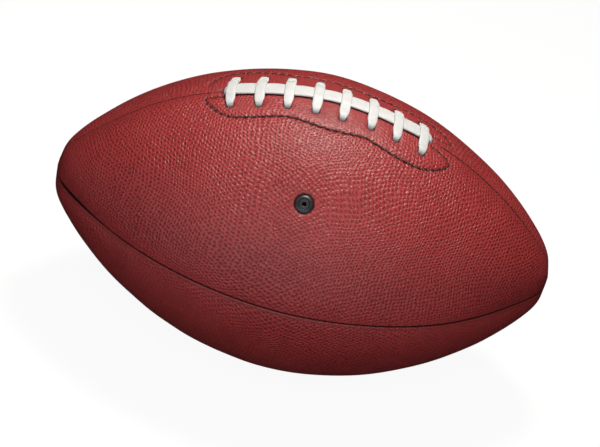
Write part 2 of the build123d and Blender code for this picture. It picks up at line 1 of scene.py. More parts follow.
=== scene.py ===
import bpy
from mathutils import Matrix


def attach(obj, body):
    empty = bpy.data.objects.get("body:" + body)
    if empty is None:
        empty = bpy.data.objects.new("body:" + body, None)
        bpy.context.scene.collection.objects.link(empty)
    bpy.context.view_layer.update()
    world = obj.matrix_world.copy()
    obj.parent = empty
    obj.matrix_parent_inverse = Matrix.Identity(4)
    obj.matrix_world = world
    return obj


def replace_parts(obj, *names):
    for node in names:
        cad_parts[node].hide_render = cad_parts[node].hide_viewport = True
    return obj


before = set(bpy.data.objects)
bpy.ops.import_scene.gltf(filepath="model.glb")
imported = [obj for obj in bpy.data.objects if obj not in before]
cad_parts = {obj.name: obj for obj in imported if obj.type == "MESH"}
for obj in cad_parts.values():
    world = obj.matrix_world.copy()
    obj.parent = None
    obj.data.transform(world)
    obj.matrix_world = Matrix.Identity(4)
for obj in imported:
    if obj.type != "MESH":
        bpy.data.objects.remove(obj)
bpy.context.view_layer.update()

import math

import bpy
import numpy as np
from mathutils import Matrix, Vector

MM = 0.001

# ---------------------------------------------------------------------------
# The ball's outline, as in the CAD frame: origin in the middle, +X along the
# ball, +Z through the lacing, -Y towards the lower front seam. Millimetres.
# ---------------------------------------------------------------------------
HALF_LENGTH = 142.8
BELLY_R = 85.2
CTRL = np.array([
    (0.0, BELLY_R),
    (0.2528 * HALF_LENGTH, BELLY_R),
    (0.869 * HALF_LENGTH, 0.8345 * BELLY_R),
    (0.857 * HALF_LENGTH, 0.1014 * BELLY_R),
    (HALF_LENGTH, 0.3776 * BELLY_R),
    (HALF_LENGTH, 0.0),
])
LACE_MID = -1.9
LACE_PITCH = 15.35
CROSSES = 8
HOLE_R = 2.05
FRONT_ARC = np.array([12.3, 12.1, 11.7, 12.9, 13.6, 13.2, 14.1, 14.6])
BACK_ARC = np.array([15.0, 15.3, 16.1, 15.9, 14.7, 13.7, 11.4, 10.8])
FRONT_LEAN = np.array([-0.6, -0.6, -0.6, -0.3, -0.5, 0.4, 0.0, 0.3])
BACK_LEAN = np.array([0.0, -0.4, -0.8, -0.4, -0.9, -0.7, -1.5, -1.9])
SLIT_X = np.array([-60.0, 54.8])
RUN_LINE = np.array([
    (-60.0, 0.1), (-49.0, 0.45), (-33.0, 1.1), (-19.0, 1.75), (-2.0, 2.2),
    (13.0, 1.5), (27.0, 1.1), (42.0, 0.2), (54.8, 0.0),
])
RUN_HALF = 4.8
VALVE_X = -4.9
VALVE_ANGLE = math.radians(47.3)
STEM_HOLE_R = 5.35
STITCH_PITCH = 4.5
SEAM_PITCH = 4.5
ROW = 2.04           # between rows of pits


def bez(pts, t):
    n = len(pts) - 1
    t = np.asarray(t, float)
    out = np.zeros(t.shape + (2,))
    for i in range(n + 1):
        out += (math.comb(n, i) * t**i * (1 - t) ** (n - i))[..., None] * pts[i]
    return out


def outline(u):
    """x, r, outward normal (nx, nr) on the outline at u from -1 to 1."""
    u = np.asarray(u, float)
    t = np.abs(u)
    p = bez(CTRL, t)
    d = bez(np.diff(CTRL, axis=0), t)
    m = np.hypot(d[..., 0], d[..., 1])
    sg = np.where(u < 0, -1.0, 1.0)
    return sg * p[..., 0], p[..., 1], sg * (-d[..., 1] / m), d[..., 0] / m


_U = np.linspace(-1, 1, 8001)
_X, _R, _NX, _NR = outline(_U)
_S = np.concatenate([[0], np.cumsum(np.hypot(np.diff(_X), np.diff(_R)))])
_S -= _S[-1] / 2
ARC_HALF = _S[-1]


def at_arc(s):
    """x, r, nx, nr at a length along the meridian, 0 at the belly."""
    return [np.interp(s, _S, a) for a in (_X, _R, _NX, _NR)]


def at_x(x):
    return [np.interp(x, _X, a) for a in (_X, _R, _NX, _NR)]


def arc_of_x(x):
    return np.interp(x, _X, _S)


def on_ball(x, arc, height=0.0):
    """Points and normals at x and an arc length from the +Z seam (+ is -Y)."""
    x = np.asarray(x, float)
    arc = np.asarray(arc, float)
    px, r, nx, nr = at_x(x)
    a = arc / r
    n = np.stack([nx + 0 * a, -nr * np.sin(a), nr * np.cos(a)], -1)
    p = np.stack([px + 0 * a, -r * np.sin(a), r * np.cos(a)], -1)
    return p + n * np.asarray(height, float)[..., None], n


def smooth(lo, hi, v):
    t = np.clip((np.asarray(v, float) - lo) / (hi - lo), 0, 1)
    return t * t * (3 - 2 * t)


def waves(p, scale, seed, count=18):
    """Smooth uneven field, about -1 to 1, from a fixed set of plane waves."""
    rng = np.random.default_rng(seed)
    out = np.zeros(p.shape[:-1])
    for _ in range(count):
        k = rng.normal(size=3)
        k *= (0.6 + 0.8 * rng.random()) * 2 * math.pi / scale / np.linalg.norm(k)
        out += np.sin(p @ k + rng.random() * 2 * math.pi)
    return out / math.sqrt(count / 2) / 1.6


# --------------------------------------------------------------- mesh helpers
def new_object(name, verts, faces, material, shade=True):
    me = bpy.data.meshes.new(name)
    me.from_pydata((np.asarray(verts) * MM).tolist(), [], faces)
    me.validate()
    me.update()
    if shade:
        me.polygons.foreach_set("use_smooth", np.ones(len(me.polygons), bool))
    ob = bpy.data.objects.new(name, me)
    bpy.context.scene.collection.objects.link(ob)
    me.materials.append(material)
    return ob


def point_attribute(ob, name, values):
    a = ob.data.attributes.new(name, "FLOAT", "POINT")
    a.data.foreach_set("value", np.asarray(values, np.float32))


def tube(path, radius, sides=8, cap=True):
    """Verts and faces of a round tube on a path; radius may vary."""
    path = np.asarray(path, float)
    n = len(path)
    rad = np.broadcast_to(np.asarray(radius, float), (n,))
    t = np.gradient(path, axis=0)
    t /= np.linalg.norm(t, axis=1)[:, None]
    ref = np.array([0.0, 0.0, 1.0]) if abs(t[0][2]) < 0.9 else np.array([1.0, 0, 0])
    a = np.cross(t[0], ref)
    a /= np.linalg.norm(a)
    verts = []
    for i in range(n):
        a = a - t[i] * (a @ t[i])
        a /= np.linalg.norm(a)
        b = np.cross(t[i], a)
        for k in range(sides):
            g = 2 * math.pi * k / sides
            verts.append(path[i] + rad[i] * (math.cos(g) * a + math.sin(g) * b))
    faces = []
    for i in range(n - 1):
        for k in range(sides):
            k2 = (k + 1) % sides
            faces.append((i * sides + k, i * sides + k2, (i + 1) * sides + k2, (i + 1) * sides + k))
    if cap:
        faces.append(tuple(range(sides - 1, -1, -1)))
        faces.append(tuple((n - 1) * sides + k for k in range(sides)))
    return np.array(verts), faces


def join(parts):
    verts, faces, base = [], [], 0
    for v, f in parts:
        verts.append(v)
        faces += [tuple(i + base for i in q) for q in f]
        base += len(v)
    return np.concatenate(verts), faces


def resample(pts, pitch):
    """Points a pitch apart on a smooth line through pts (any dimension)."""
    pts = np.asarray(pts, float)
    fine = []
    for i in range(len(pts) - 1):
        p0, p1 = pts[max(i - 1, 0)], pts[i]
        p2, p3 = pts[i + 1], pts[min(i + 2, len(pts) - 1)]
        for k in range(24):
            t = k / 24
            fine.append(0.5 * (2 * p1 + (p2 - p0) * t + (2 * p0 - 5 * p1 + 4 * p2 - p3) * t**2 + (3 * p1 - p0 - 3 * p2 + p3) * t**3))
    fine.append(pts[-1])
    fine = np.array(fine)
    run = np.concatenate([[0], np.cumsum(np.linalg.norm(np.diff(fine, axis=0), axis=1))])
    count = max(2, round(run[-1] / pitch))
    want = np.linspace(0, run[-1], count + 1)
    return np.stack([np.interp(want, run, fine[:, k]) for k in range(fine.shape[1])], 1)


# ------------------------------------------------------------------ materials
def material(name):
    m = bpy.data.materials.new(name)
    m.use_nodes = True
    nt = m.node_tree
    nt.nodes.clear()
    out = nt.nodes.new("ShaderNodeOutputMaterial")
    bsdf = nt.nodes.new("ShaderNodeBsdfPrincipled")
    nt.links.new(bsdf.outputs[0], out.inputs[0])
    return m, nt, bsdf


def node(nt, kind, **values):
    n = nt.nodes.new(kind)
    for k, v in values.items():
        if k.startswith("i_"):
            n.inputs[k[2:].replace("_", " ")].default_value = v
        else:
            setattr(n, k, v)
    return n


def maths(nt, op, a, b=None, clamp=False):
    n = nt.nodes.new("ShaderNodeMath")
    n.operation = op
    n.use_clamp = clamp
    for i, v in enumerate((a, b)):
        if v is None:
            continue
        if isinstance(v, (int, float)):
            n.inputs[i].default_value = v
        else:
            nt.links.new(v, n.inputs[i])
    return n.outputs[0]


def ramp(nt, fac, stops, interpolation="LINEAR"):
    n = nt.nodes.new("ShaderNodeValToRGB")
    n.color_ramp.interpolation = interpolation
    e = n.color_ramp.elements
    while len(e) < len(stops):
        e.new(0.5)
    for el, (p, c) in zip(e, stops):
        el.position = p
        el.color = (*c, 1.0) if len(c) == 3 else c
    nt.links.new(fac, n.inputs[0])
    return n.outputs[0]


def mix(nt, fac, a, b, blend="MIX"):
    n = nt.nodes.new("ShaderNodeMix")
    n.data_type = "RGBA"
    n.blend_type = blend
    for sock, v in ((n.inputs[0], fac), (n.inputs[6], a), (n.inputs[7], b)):
        if isinstance(v, (int, float)):
            sock.default_value = v
        elif isinstance(v, tuple):
            sock.default_value = (*v, 1.0)
        else:
            nt.links.new(v, sock)
    return n.outputs[2]


def leather_material(name):
    """Red-brown pebbled leather: raised grain round small pits in drifting rows,
    with painted shade in the pits and at the seams and hole rims, pressed flat by
    the lacing, with uneven dye and a soft shine."""
    m, nt, bsdf = material(name)
    link = nt.links.new
    uv = node(nt, "ShaderNodeUVMap", uv_map="grain")
    press = node(nt, "ShaderNodeAttribute", attribute_name="press").outputs["Fac"]
    painted_shade = node(nt, "ShaderNodeAttribute", attribute_name="painted_shade").outputs["Fac"]
    pos = node(nt, "ShaderNodeTexCoord").outputs["Object"]

    # rows drift and swirl: the map is pushed about by two broad noises
    broad = node(nt, "ShaderNodeTexNoise", noise_dimensions="2D", i_Scale=0.018, i_Detail=1.0, i_Roughness=0.4)
    link(uv.outputs[0], broad.inputs["Vector"])
    sub = node(nt, "ShaderNodeVectorMath", operation="SUBTRACT")
    link(broad.outputs["Color"], sub.inputs[0])
    sub.inputs[1].default_value = (0.5, 0.5, 0.5)
    sc = node(nt, "ShaderNodeVectorMath", operation="SCALE")
    link(sub.outputs[0], sc.inputs[0])
    sc.inputs["Scale"].default_value = 16.0
    near = node(nt, "ShaderNodeTexNoise", noise_dimensions="2D", i_Scale=0.12, i_Detail=2.0, i_Roughness=0.5)
    link(uv.outputs[0], near.inputs["Vector"])
    sub2 = node(nt, "ShaderNodeVectorMath", operation="SUBTRACT")
    link(near.outputs["Color"], sub2.inputs[0])
    sub2.inputs[1].default_value = (0.5, 0.5, 0.5)
    sc2 = node(nt, "ShaderNodeVectorMath", operation="SCALE")
    link(sub2.outputs[0], sc2.inputs[0])
    sc2.inputs["Scale"].default_value = 1.9
    add = node(nt, "ShaderNodeVectorMath", operation="ADD")
    link(uv.outputs[0], add.inputs[0])
    link(sc.outputs[0], add.inputs[1])
    add2 = node(nt, "ShaderNodeVectorMath", operation="ADD")
    link(add.outputs[0], add2.inputs[0])
    link(sc2.outputs[0], add2.inputs[1])

    # a third, close push makes each pebble a little different
    close = node(nt, "ShaderNodeTexNoise", noise_dimensions="2D", i_Scale=0.42, i_Detail=1.0, i_Roughness=0.5)
    link(uv.outputs[0], close.inputs["Vector"])
    sub3 = node(nt, "ShaderNodeVectorMath", operation="SUBTRACT")
    link(close.outputs["Color"], sub3.inputs[0])
    sub3.inputs[1].default_value = (0.5, 0.5, 0.5)
    sc3 = node(nt, "ShaderNodeVectorMath", operation="SCALE")
    link(sub3.outputs[0], sc3.inputs[0])
    sc3.inputs["Scale"].default_value = 1.5
    add3 = node(nt, "ShaderNodeVectorMath", operation="ADD")
    link(add2.outputs[0], add3.inputs[0])
    link(sc3.outputs[0], add3.inputs[1])
    # embossed grain, its pits in staggered rows: three waves, a third of a turn apart
    wave = []
    for g in (math.radians(2.0), math.radians(122.0), math.radians(242.0)):
        dot = node(nt, "ShaderNodeVectorMath", operation="DOT_PRODUCT")
        link(add3.outputs[0], dot.inputs[0])
        dot.inputs[1].default_value = (2 * math.pi / ROW * math.cos(g), 2 * math.pi / ROW * math.sin(g), 0.0)
        wave.append(maths(nt, "COSINE", dot.outputs["Value"]))
    three = maths(nt, "ADD", maths(nt, "ADD", wave[0], wave[1]), wave[2])
    both = maths(nt, "MULTIPLY", maths(nt, "SUBTRACT", 3.0, three), 1 / 4.5)
    pebble = ramp(nt, both, [(0.0, (0, 0, 0)), (0.22, (0.14, 0.14, 0.14)), (0.50, (0.50, 0.50, 0.50)), (0.78, (0.86, 0.86, 0.86)), (1.0, (1, 1, 1))])
    keep = maths(nt, "SUBTRACT", 1.0, press, clamp=True)
    # each pebble has its own height
    lot = node(nt, "ShaderNodeTexNoise", noise_dimensions="2D", i_Scale=0.55, i_Detail=1.0)
    link(uv.outputs[0], lot.inputs["Vector"])
    tall = ramp(nt, lot.outputs["Fac"], [(0.3, (0.62, 0.62, 0.62)), (0.7, (1, 1, 1))])
    pebble_h = maths(nt, "MULTIPLY", maths(nt, "MULTIPLY", pebble, tall), keep)

    # fine pore grain over everything, wrinkles where the leather is pressed
    fine = node(nt, "ShaderNodeTexNoise", noise_dimensions="2D", i_Scale=2.6, i_Detail=4.0, i_Roughness=0.62)
    link(uv.outputs[0], fine.inputs["Vector"])
    wr = node(nt, "ShaderNodeTexNoise", noise_dimensions="2D", i_Scale=0.34, i_Detail=3.0, i_Roughness=0.55, i_Distortion=0.8)
    link(add2.outputs[0], wr.inputs["Vector"])
    wrinkle = maths(nt, "MULTIPLY", ramp(nt, wr.outputs["Fac"], [(0.36, (1, 1, 1)), (0.47, (0.2, 0.2, 0.2)), (0.50, (0, 0, 0)), (0.53, (0.2, 0.2, 0.2)), (0.64, (1, 1, 1))]), press)

    height = maths(nt, "ADD", maths(nt, "ADD", pebble_h, maths(nt, "MULTIPLY", fine.outputs["Fac"], 0.10)), maths(nt, "MULTIPLY", wrinkle, 0.28))
    bump = node(nt, "ShaderNodeBump")
    bump.inputs["Strength"].default_value = 1.0
    bump.inputs["Distance"].default_value = 0.44 * MM
    link(height, bump.inputs["Height"])
    link(bump.outputs[0], bsdf.inputs["Normal"])

    # colour: shade painted dark into the valleys, redder on top, uneven dye over the hide
    dye = node(nt, "ShaderNodeTexNoise", i_Scale=17.0, i_Detail=3.0, i_Roughness=0.55)
    link(pos, dye.inputs["Vector"])
    dye2 = node(nt, "ShaderNodeTexNoise", i_Scale=130.0, i_Detail=3.0, i_Roughness=0.6)
    link(pos, dye2.inputs["Vector"])
    base = ramp(nt, dye.outputs["Fac"], [(0.30, (0.268, 0.0235, 0.0245)), (0.50, (0.312, 0.0295, 0.0305)), (0.72, (0.352, 0.0375, 0.0370))])
    base = mix(nt, maths(nt, "MULTIPLY", ramp(nt, dye2.outputs["Fac"], [(0.35, (0, 0, 0)), (0.75, (1, 1, 1))]), 0.35), base, (0.383, 0.0465, 0.0450))
    # painted shade: the pits, and the wrinkle lines where pressed, are mixed towards a near-black red
    pit_shade = mix(nt, 0.60, base, (0.060, 0.003, 0.004))
    tone = mix(nt, maths(nt, "ADD", maths(nt, "MULTIPLY", pebble, keep), maths(nt, "MULTIPLY", press, maths(nt, "ADD", maths(nt, "MULTIPLY", wrinkle, 0.25), 0.55)), clamp=True), pit_shade, base)
    # painted shade, towards near black, at the seams, needle and lace holes, slit ends, valve rim, under the edge of
    # the long run and on the inner face
    tone = mix(nt, painted_shade, tone, (0.022, 0.004, 0.004))
    link(tone, bsdf.inputs["Base Color"])
    rough = maths(nt, "ADD", maths(nt, "MULTIPLY", pebble_h, -0.04), maths(nt, "ADD", maths(nt, "MULTIPLY", fine.outputs["Fac"], 0.10), 0.39))
    link(maths(nt, "ADD", rough, maths(nt, "MULTIPLY", painted_shade, 0.3), clamp=True), bsdf.inputs["Roughness"])
    bsdf.inputs["Specular IOR Level"].default_value = 0.50
    return m


def lace_material(name):
    m, nt, bsdf = material(name)
    link = nt.links.new
    uv = node(nt, "ShaderNodeUVMap", uv_map="along")
    pos = node(nt, "ShaderNodeTexCoord").outputs["Object"]
    below_surface = node(nt, "ShaderNodeAttribute", attribute_name="below_surface").outputs["Fac"]
    grain = node(nt, "ShaderNodeTexNoise", i_Scale=1500.0, i_Detail=3.0, i_Roughness=0.6)
    link(pos, grain.inputs["Vector"])
    lump = node(nt, "ShaderNodeTexNoise", i_Scale=230.0, i_Detail=2.0)
    link(pos, lump.inputs["Vector"])
    ribs = node(nt, "ShaderNodeTexWave", wave_type="BANDS", bands_direction="X", i_Scale=0.42, i_Distortion=1.2, i_Detail=1.0)
    link(uv.outputs[0], ribs.inputs["Vector"])
    h = maths(nt, "ADD", maths(nt, "MULTIPLY", grain.outputs["Fac"], 0.5), maths(nt, "ADD", maths(nt, "MULTIPLY", lump.outputs["Fac"], 0.9), maths(nt, "MULTIPLY", ribs.outputs["Fac"], 0.16)))
    bump = node(nt, "ShaderNodeBump")
    bump.inputs["Strength"].default_value = 0.8
    bump.inputs["Distance"].default_value = 0.16 * MM
    link(h, bump.inputs["Height"])
    link(bump.outputs[0], bsdf.inputs["Normal"])
    c = ramp(nt, lump.outputs["Fac"], [(0.3, (0.515, 0.512, 0.506)), (0.7, (0.570, 0.567, 0.560))])
    # darker and browner where the lace goes down below the leather into the holes
    c = mix(nt, below_surface, c, (0.30, 0.26, 0.22))
    link(c, bsdf.inputs["Base Color"])
    link(maths(nt, "ADD", maths(nt, "MULTIPLY", grain.outputs["Fac"], 0.2), 0.42), bsdf.inputs["Roughness"])
    bsdf.inputs["Specular IOR Level"].default_value = 0.4
    bsdf.inputs["Subsurface Weight"].default_value = 0.12
    bsdf.inputs["Subsurface Radius"].default_value = (0.0010, 0.0009, 0.0007)
    return m


def thread_material(name, dark, light, scale=900.0):
    m, nt, bsdf = material(name)
    link = nt.links.new
    pos = node(nt, "ShaderNodeTexCoord").outputs["Object"]
    n = node(nt, "ShaderNodeTexNoise", i_Scale=scale, i_Detail=3.0, i_Roughness=0.6)
    link(pos, n.inputs["Vector"])
    w = node(nt, "ShaderNodeTexWave", wave_type="BANDS", bands_direction="DIAGONAL", i_Scale=scale * 0.9, i_Distortion=2.0)
    link(pos, w.inputs["Vector"])
    f = maths(nt, "ADD", maths(nt, "MULTIPLY", n.outputs["Fac"], 0.6), maths(nt, "MULTIPLY", w.outputs["Fac"], 0.4))
    link(ramp(nt, f, [(0.25, dark), (0.8, light)]), bsdf.inputs["Base Color"])
    bump = node(nt, "ShaderNodeBump")
    bump.inputs["Strength"].default_value = 0.7
    bump.inputs["Distance"].default_value = 0.08 * MM
    link(f, bump.inputs["Height"])
    link(bump.outputs[0], bsdf.inputs["Normal"])
    link(ramp(nt, n.outputs["Fac"], [(0.2, (0.5, 0.5, 0.5)), (0.9, (0.8, 0.8, 0.8))]), bsdf.inputs["Roughness"])
    return m


def rubber_material(name, dark, light, rough=0.5):
    m, nt, bsdf = material(name)
    link = nt.links.new
    pos = node(nt, "ShaderNodeTexCoord").outputs["Object"]
    n = node(nt, "ShaderNodeTexNoise", i_Scale=420.0, i_Detail=4.0, i_Roughness=0.6)
    link(pos, n.inputs["Vector"])
    big = node(nt, "ShaderNodeTexNoise", i_Scale=60.0, i_Detail=2.0)
    link(pos, big.inputs["Vector"])
    f = maths(nt, "ADD", maths(nt, "MULTIPLY", n.outputs["Fac"], 0.5), maths(nt, "MULTIPLY", big.outputs["Fac"], 0.5))
    link(ramp(nt, f, [(0.3, dark), (0.72, light)]), bsdf.inputs["Base Color"])
    link(maths(nt, "ADD", maths(nt, "MULTIPLY", n.outputs["Fac"], 0.2), rough - 0.1), bsdf.inputs["Roughness"])
    bump = node(nt, "ShaderNodeBump")
    bump.inputs["Strength"].default_value = 0.5
    bump.inputs["Distance"].default_value = 0.05 * MM
    link(n.outputs["Fac"], bump.inputs["Height"])
    link(bump.outputs[0], bsdf.inputs["Normal"])
    return m


def cloth_material(name, dark, light):
    m, nt, bsdf = material(name)
    link = nt.links.new
    pos = node(nt, "ShaderNodeTexCoord").outputs["Object"]
    a = node(nt, "ShaderNodeTexWave", wave_type="BANDS", bands_direction="X", i_Scale=320.0, i_Distortion=0.6)
    b = node(nt, "ShaderNodeTexWave", wave_type="BANDS", bands_direction="Y", i_Scale=320.0, i_Distortion=0.6)
    link(pos, a.inputs["Vector"])
    link(pos, b.inputs["Vector"])
    weave = maths(nt, "MULTIPLY", a.outputs["Fac"], b.outputs["Fac"])
    link(ramp(nt, weave, [(0.1, dark), (0.8, light)]), bsdf.inputs["Base Color"])
    bump = node(nt, "ShaderNodeBump")
    bump.inputs["Strength"].default_value = 0.6
    bump.inputs["Distance"].default_value = 0.12 * MM
    link(weave, bump.inputs["Height"])
    link(bump.outputs[0], bsdf.inputs["Normal"])
    bsdf.inputs["Roughness"].default_value = 0.9
    return m


def suede_material(name, dark, light):
    m, nt, bsdf = material(name)
    link = nt.links.new
    pos = node(nt, "ShaderNodeTexCoord").outputs["Object"]
    n = node(nt, "ShaderNodeTexNoise", i_Scale=700.0, i_Detail=5.0, i_Roughness=0.65)
    link(pos, n.inputs["Vector"])
    big = node(nt, "ShaderNodeTexNoise", i_Scale=45.0, i_Detail=3.0)
    link(pos, big.inputs["Vector"])
    f = maths(nt, "ADD", maths(nt, "MULTIPLY", n.outputs["Fac"], 0.6), maths(nt, "MULTIPLY", big.outputs["Fac"], 0.4))
    link(ramp(nt, f, [(0.3, dark), (0.7, light)]), bsdf.inputs["Base Color"])
    bump = node(nt, "ShaderNodeBump")
    bump.inputs["Strength"].default_value = 0.8
    bump.inputs["Distance"].default_value = 0.15 * MM
    link(n.outputs["Fac"], bump.inputs["Height"])
    link(bump.outputs[0], bsdf.inputs["Normal"])
    bsdf.inputs["Roughness"].default_value = 0.85
    return m


LEATHER = leather_material("pebbled_leather")
LACE = lace_material("lace_vinyl")
STITCH = thread_material("stitch_thread", (0.010, 0.007, 0.007), (0.055, 0.040, 0.036))
SEAM_THREAD = thread_material("seam_thread", (0.030, 0.012, 0.010), (0.090, 0.040, 0.032))
VALVE = rubber_material("valve_rubber", (0.010, 0.010, 0.011), (0.026, 0.027, 0.030), 0.42)
BLADDER = rubber_material("bladder_rubber", (0.020, 0.020, 0.020), (0.045, 0.045, 0.045), 0.55)
LINING = cloth_material("lining_cloth", (0.30, 0.26, 0.20), (0.66, 0.61, 0.51))
FACING = suede_material("facing_leather", (0.14, 0.05, 0.035), (0.28, 0.12, 0.085))
TONGUE = suede_material("tongue_leather", (0.11, 0.045, 0.03), (0.24, 0.11, 0.07))

# ---------------------------------------------------- places of the small parts
def slit_out(x):
    """Distance past the slit's nearer end, negative between the ends."""
    return np.maximum(SLIT_X[0] - x, x - SLIT_X[1])


def run_y(x):
    """Middle of the long run at x."""
    return np.interp(x, RUN_LINE[:, 0], RUN_LINE[:, 1])


def cross_frame(x, lean=0.0):
    """Point on the seam, tangent, normal, radius across, direction across."""
    px, r, nx, nr = (float(v) for v in at_x(x))
    m = math.hypot(1.0, lean)
    c, k = 1.0 / m, lean / m
    return np.array([px, 0, r]), np.array([nr * c, -k, -nx * c]), np.array([nx, 0, nr]), r / nr, np.array([nr * k, c, -nx * k])


def across(f, arc, height):
    """Point at an arc from the seam (+ is +Y) and a height over the leather."""
    p, t, n, big, b = f
    a = np.asarray(arc, float) / big
    y = (big + np.asarray(height, float)) * np.sin(a)
    h = (big + np.asarray(height, float)) * np.cos(a) - big
    return p + h[..., None] * n + y[..., None] * b


def across_axis(f, arc):
    p, t, n, big, b = f
    a = arc / big
    return n * math.cos(a) + b * math.sin(a)


LEAN = (BACK_LEAN - FRONT_LEAN) / (BACK_ARC + FRONT_ARC)
CROSS_X = LACE_MID + LACE_PITCH * (np.arange(CROSSES) - (CROSSES - 1) / 2) + FRONT_LEAN + LEAN * FRONT_ARC
FRAMES = [cross_frame(x, k) for x, k in zip(CROSS_X, LEAN)]
SLIT_FRAMES = [cross_frame(x) for x in SLIT_X]
vx, vr, vnx, vnr = (float(v) for v in at_x(VALVE_X))
VALVE_P = np.array([vx, -vr * math.sin(VALVE_ANGLE), vr * math.cos(VALVE_ANGLE)])
VALVE_N = np.array([vnx, -vnr * math.sin(VALVE_ANGLE), vnr * math.cos(VALVE_ANGLE)])

FRONT_LINE = [
    (-60.5, 4.7), (-65.1, 4.8), (-68.9, 5.1), (-70.0, 6.6), (-64.3, 14.3), (-59.4, 18.8), (-54.8, 21.1),
    (-49.2, 22.1), (-40.6, 21.6), (-31.9, 20.3), (-23.5, 19.8), (-14.2, 21.6), (-10.1, 22.7), (-1.7, 23.8),
    (7.2, 23.6), (15.8, 22.4), (20.3, 22.0), (24.2, 23.1), (29.0, 24.3), (37.7, 26.0), (46.4, 26.3),
    (52.0, 25.5), (56.6, 23.6), (61.2, 20.7), (65.6, 16.5), (68.6, 11.9), (68.5, 9.4), (66.6, 7.6),
    (61.8, 5.8), (57.6, 5.0),
]
BACK_LINE = [
    (-69.8, 8.5), (-68.2, 12.6), (-65.4, 17.2), (-62.3, 20.3), (-58.7, 23.2), (-52.5, 25.6), (-46.5, 26.0),
    (-40.8, 25.5), (-33.0, 24.9), (-26.8, 23.0), (-20.1, 22.7), (-9.0, 22.9), (0.0, 22.0), (9.0, 20.4),
    (18.4, 19.3), (23.1, 18.7), (31.7, 18.9), (44.7, 19.2), (52.8, 18.6), (57.9, 17.3), (62.0, 15.8),
    (66.2, 12.6), (69.2, 9.2), (68.5, 7.2), (63.7, 6.0), (57.4, 4.8),
]
FRONT_NEEDLE = resample(FRONT_LINE, STITCH_PITCH)
BACK_NEEDLE = resample(BACK_LINE, STITCH_PITCH)


def seg_distance(px, py, line):
    """Distance of points to an open polyline, in the flat (x, arc) map."""
    best = np.full(px.shape, 1e9)
    for a, b in zip(line, line[1:]):
        d = b - a
        t = np.clip(((px - a[0]) * d[0] + (py - a[1]) * d[1]) / (d @ d), 0, 1)
        best = np.minimum(best, np.hypot(px - a[0] - t * d[0], py - a[1] - t * d[1]))
    return best


def inside(px, py, line):
    """Whether points lie inside the closed outline of a polyline."""
    hit = np.zeros(px.shape, bool)
    ring = np.concatenate([line, line[:1]])
    for a, b in zip(ring, ring[1:]):
        cross = (a[1] > py) != (b[1] > py)
        with np.errstate(divide="ignore", invalid="ignore"):
            xx = (b[0] - a[0]) * (py - a[1]) / (b[1] - a[1]) + a[0]
        hit ^= cross & (px < xx)
    return hit


# ---------------------------------------------------------------------- panels
FOLD_R = 0.95       # radius of the turned edge
LACE_FOLD_R = 0.85  # and along the tightly drawn lace seam
RIGHT_END = np.array([0.85, 0.66, 0.88])
LEFT_END = np.array([0.20, -0.62, -0.82])
SKIN = 1.35         # leather thickness; the turned edges are skived thinner


def spacing(stops):
    """Positions with a step that changes from stop to stop."""
    out = [stops[0][0]]
    for (a, step), (b, _) in zip(stops, stops[1:]):
        n = max(1, round((b - a) / step))
        out += list(a + (b - a) * np.arange(1, n + 1) / n)
    return np.array(out)


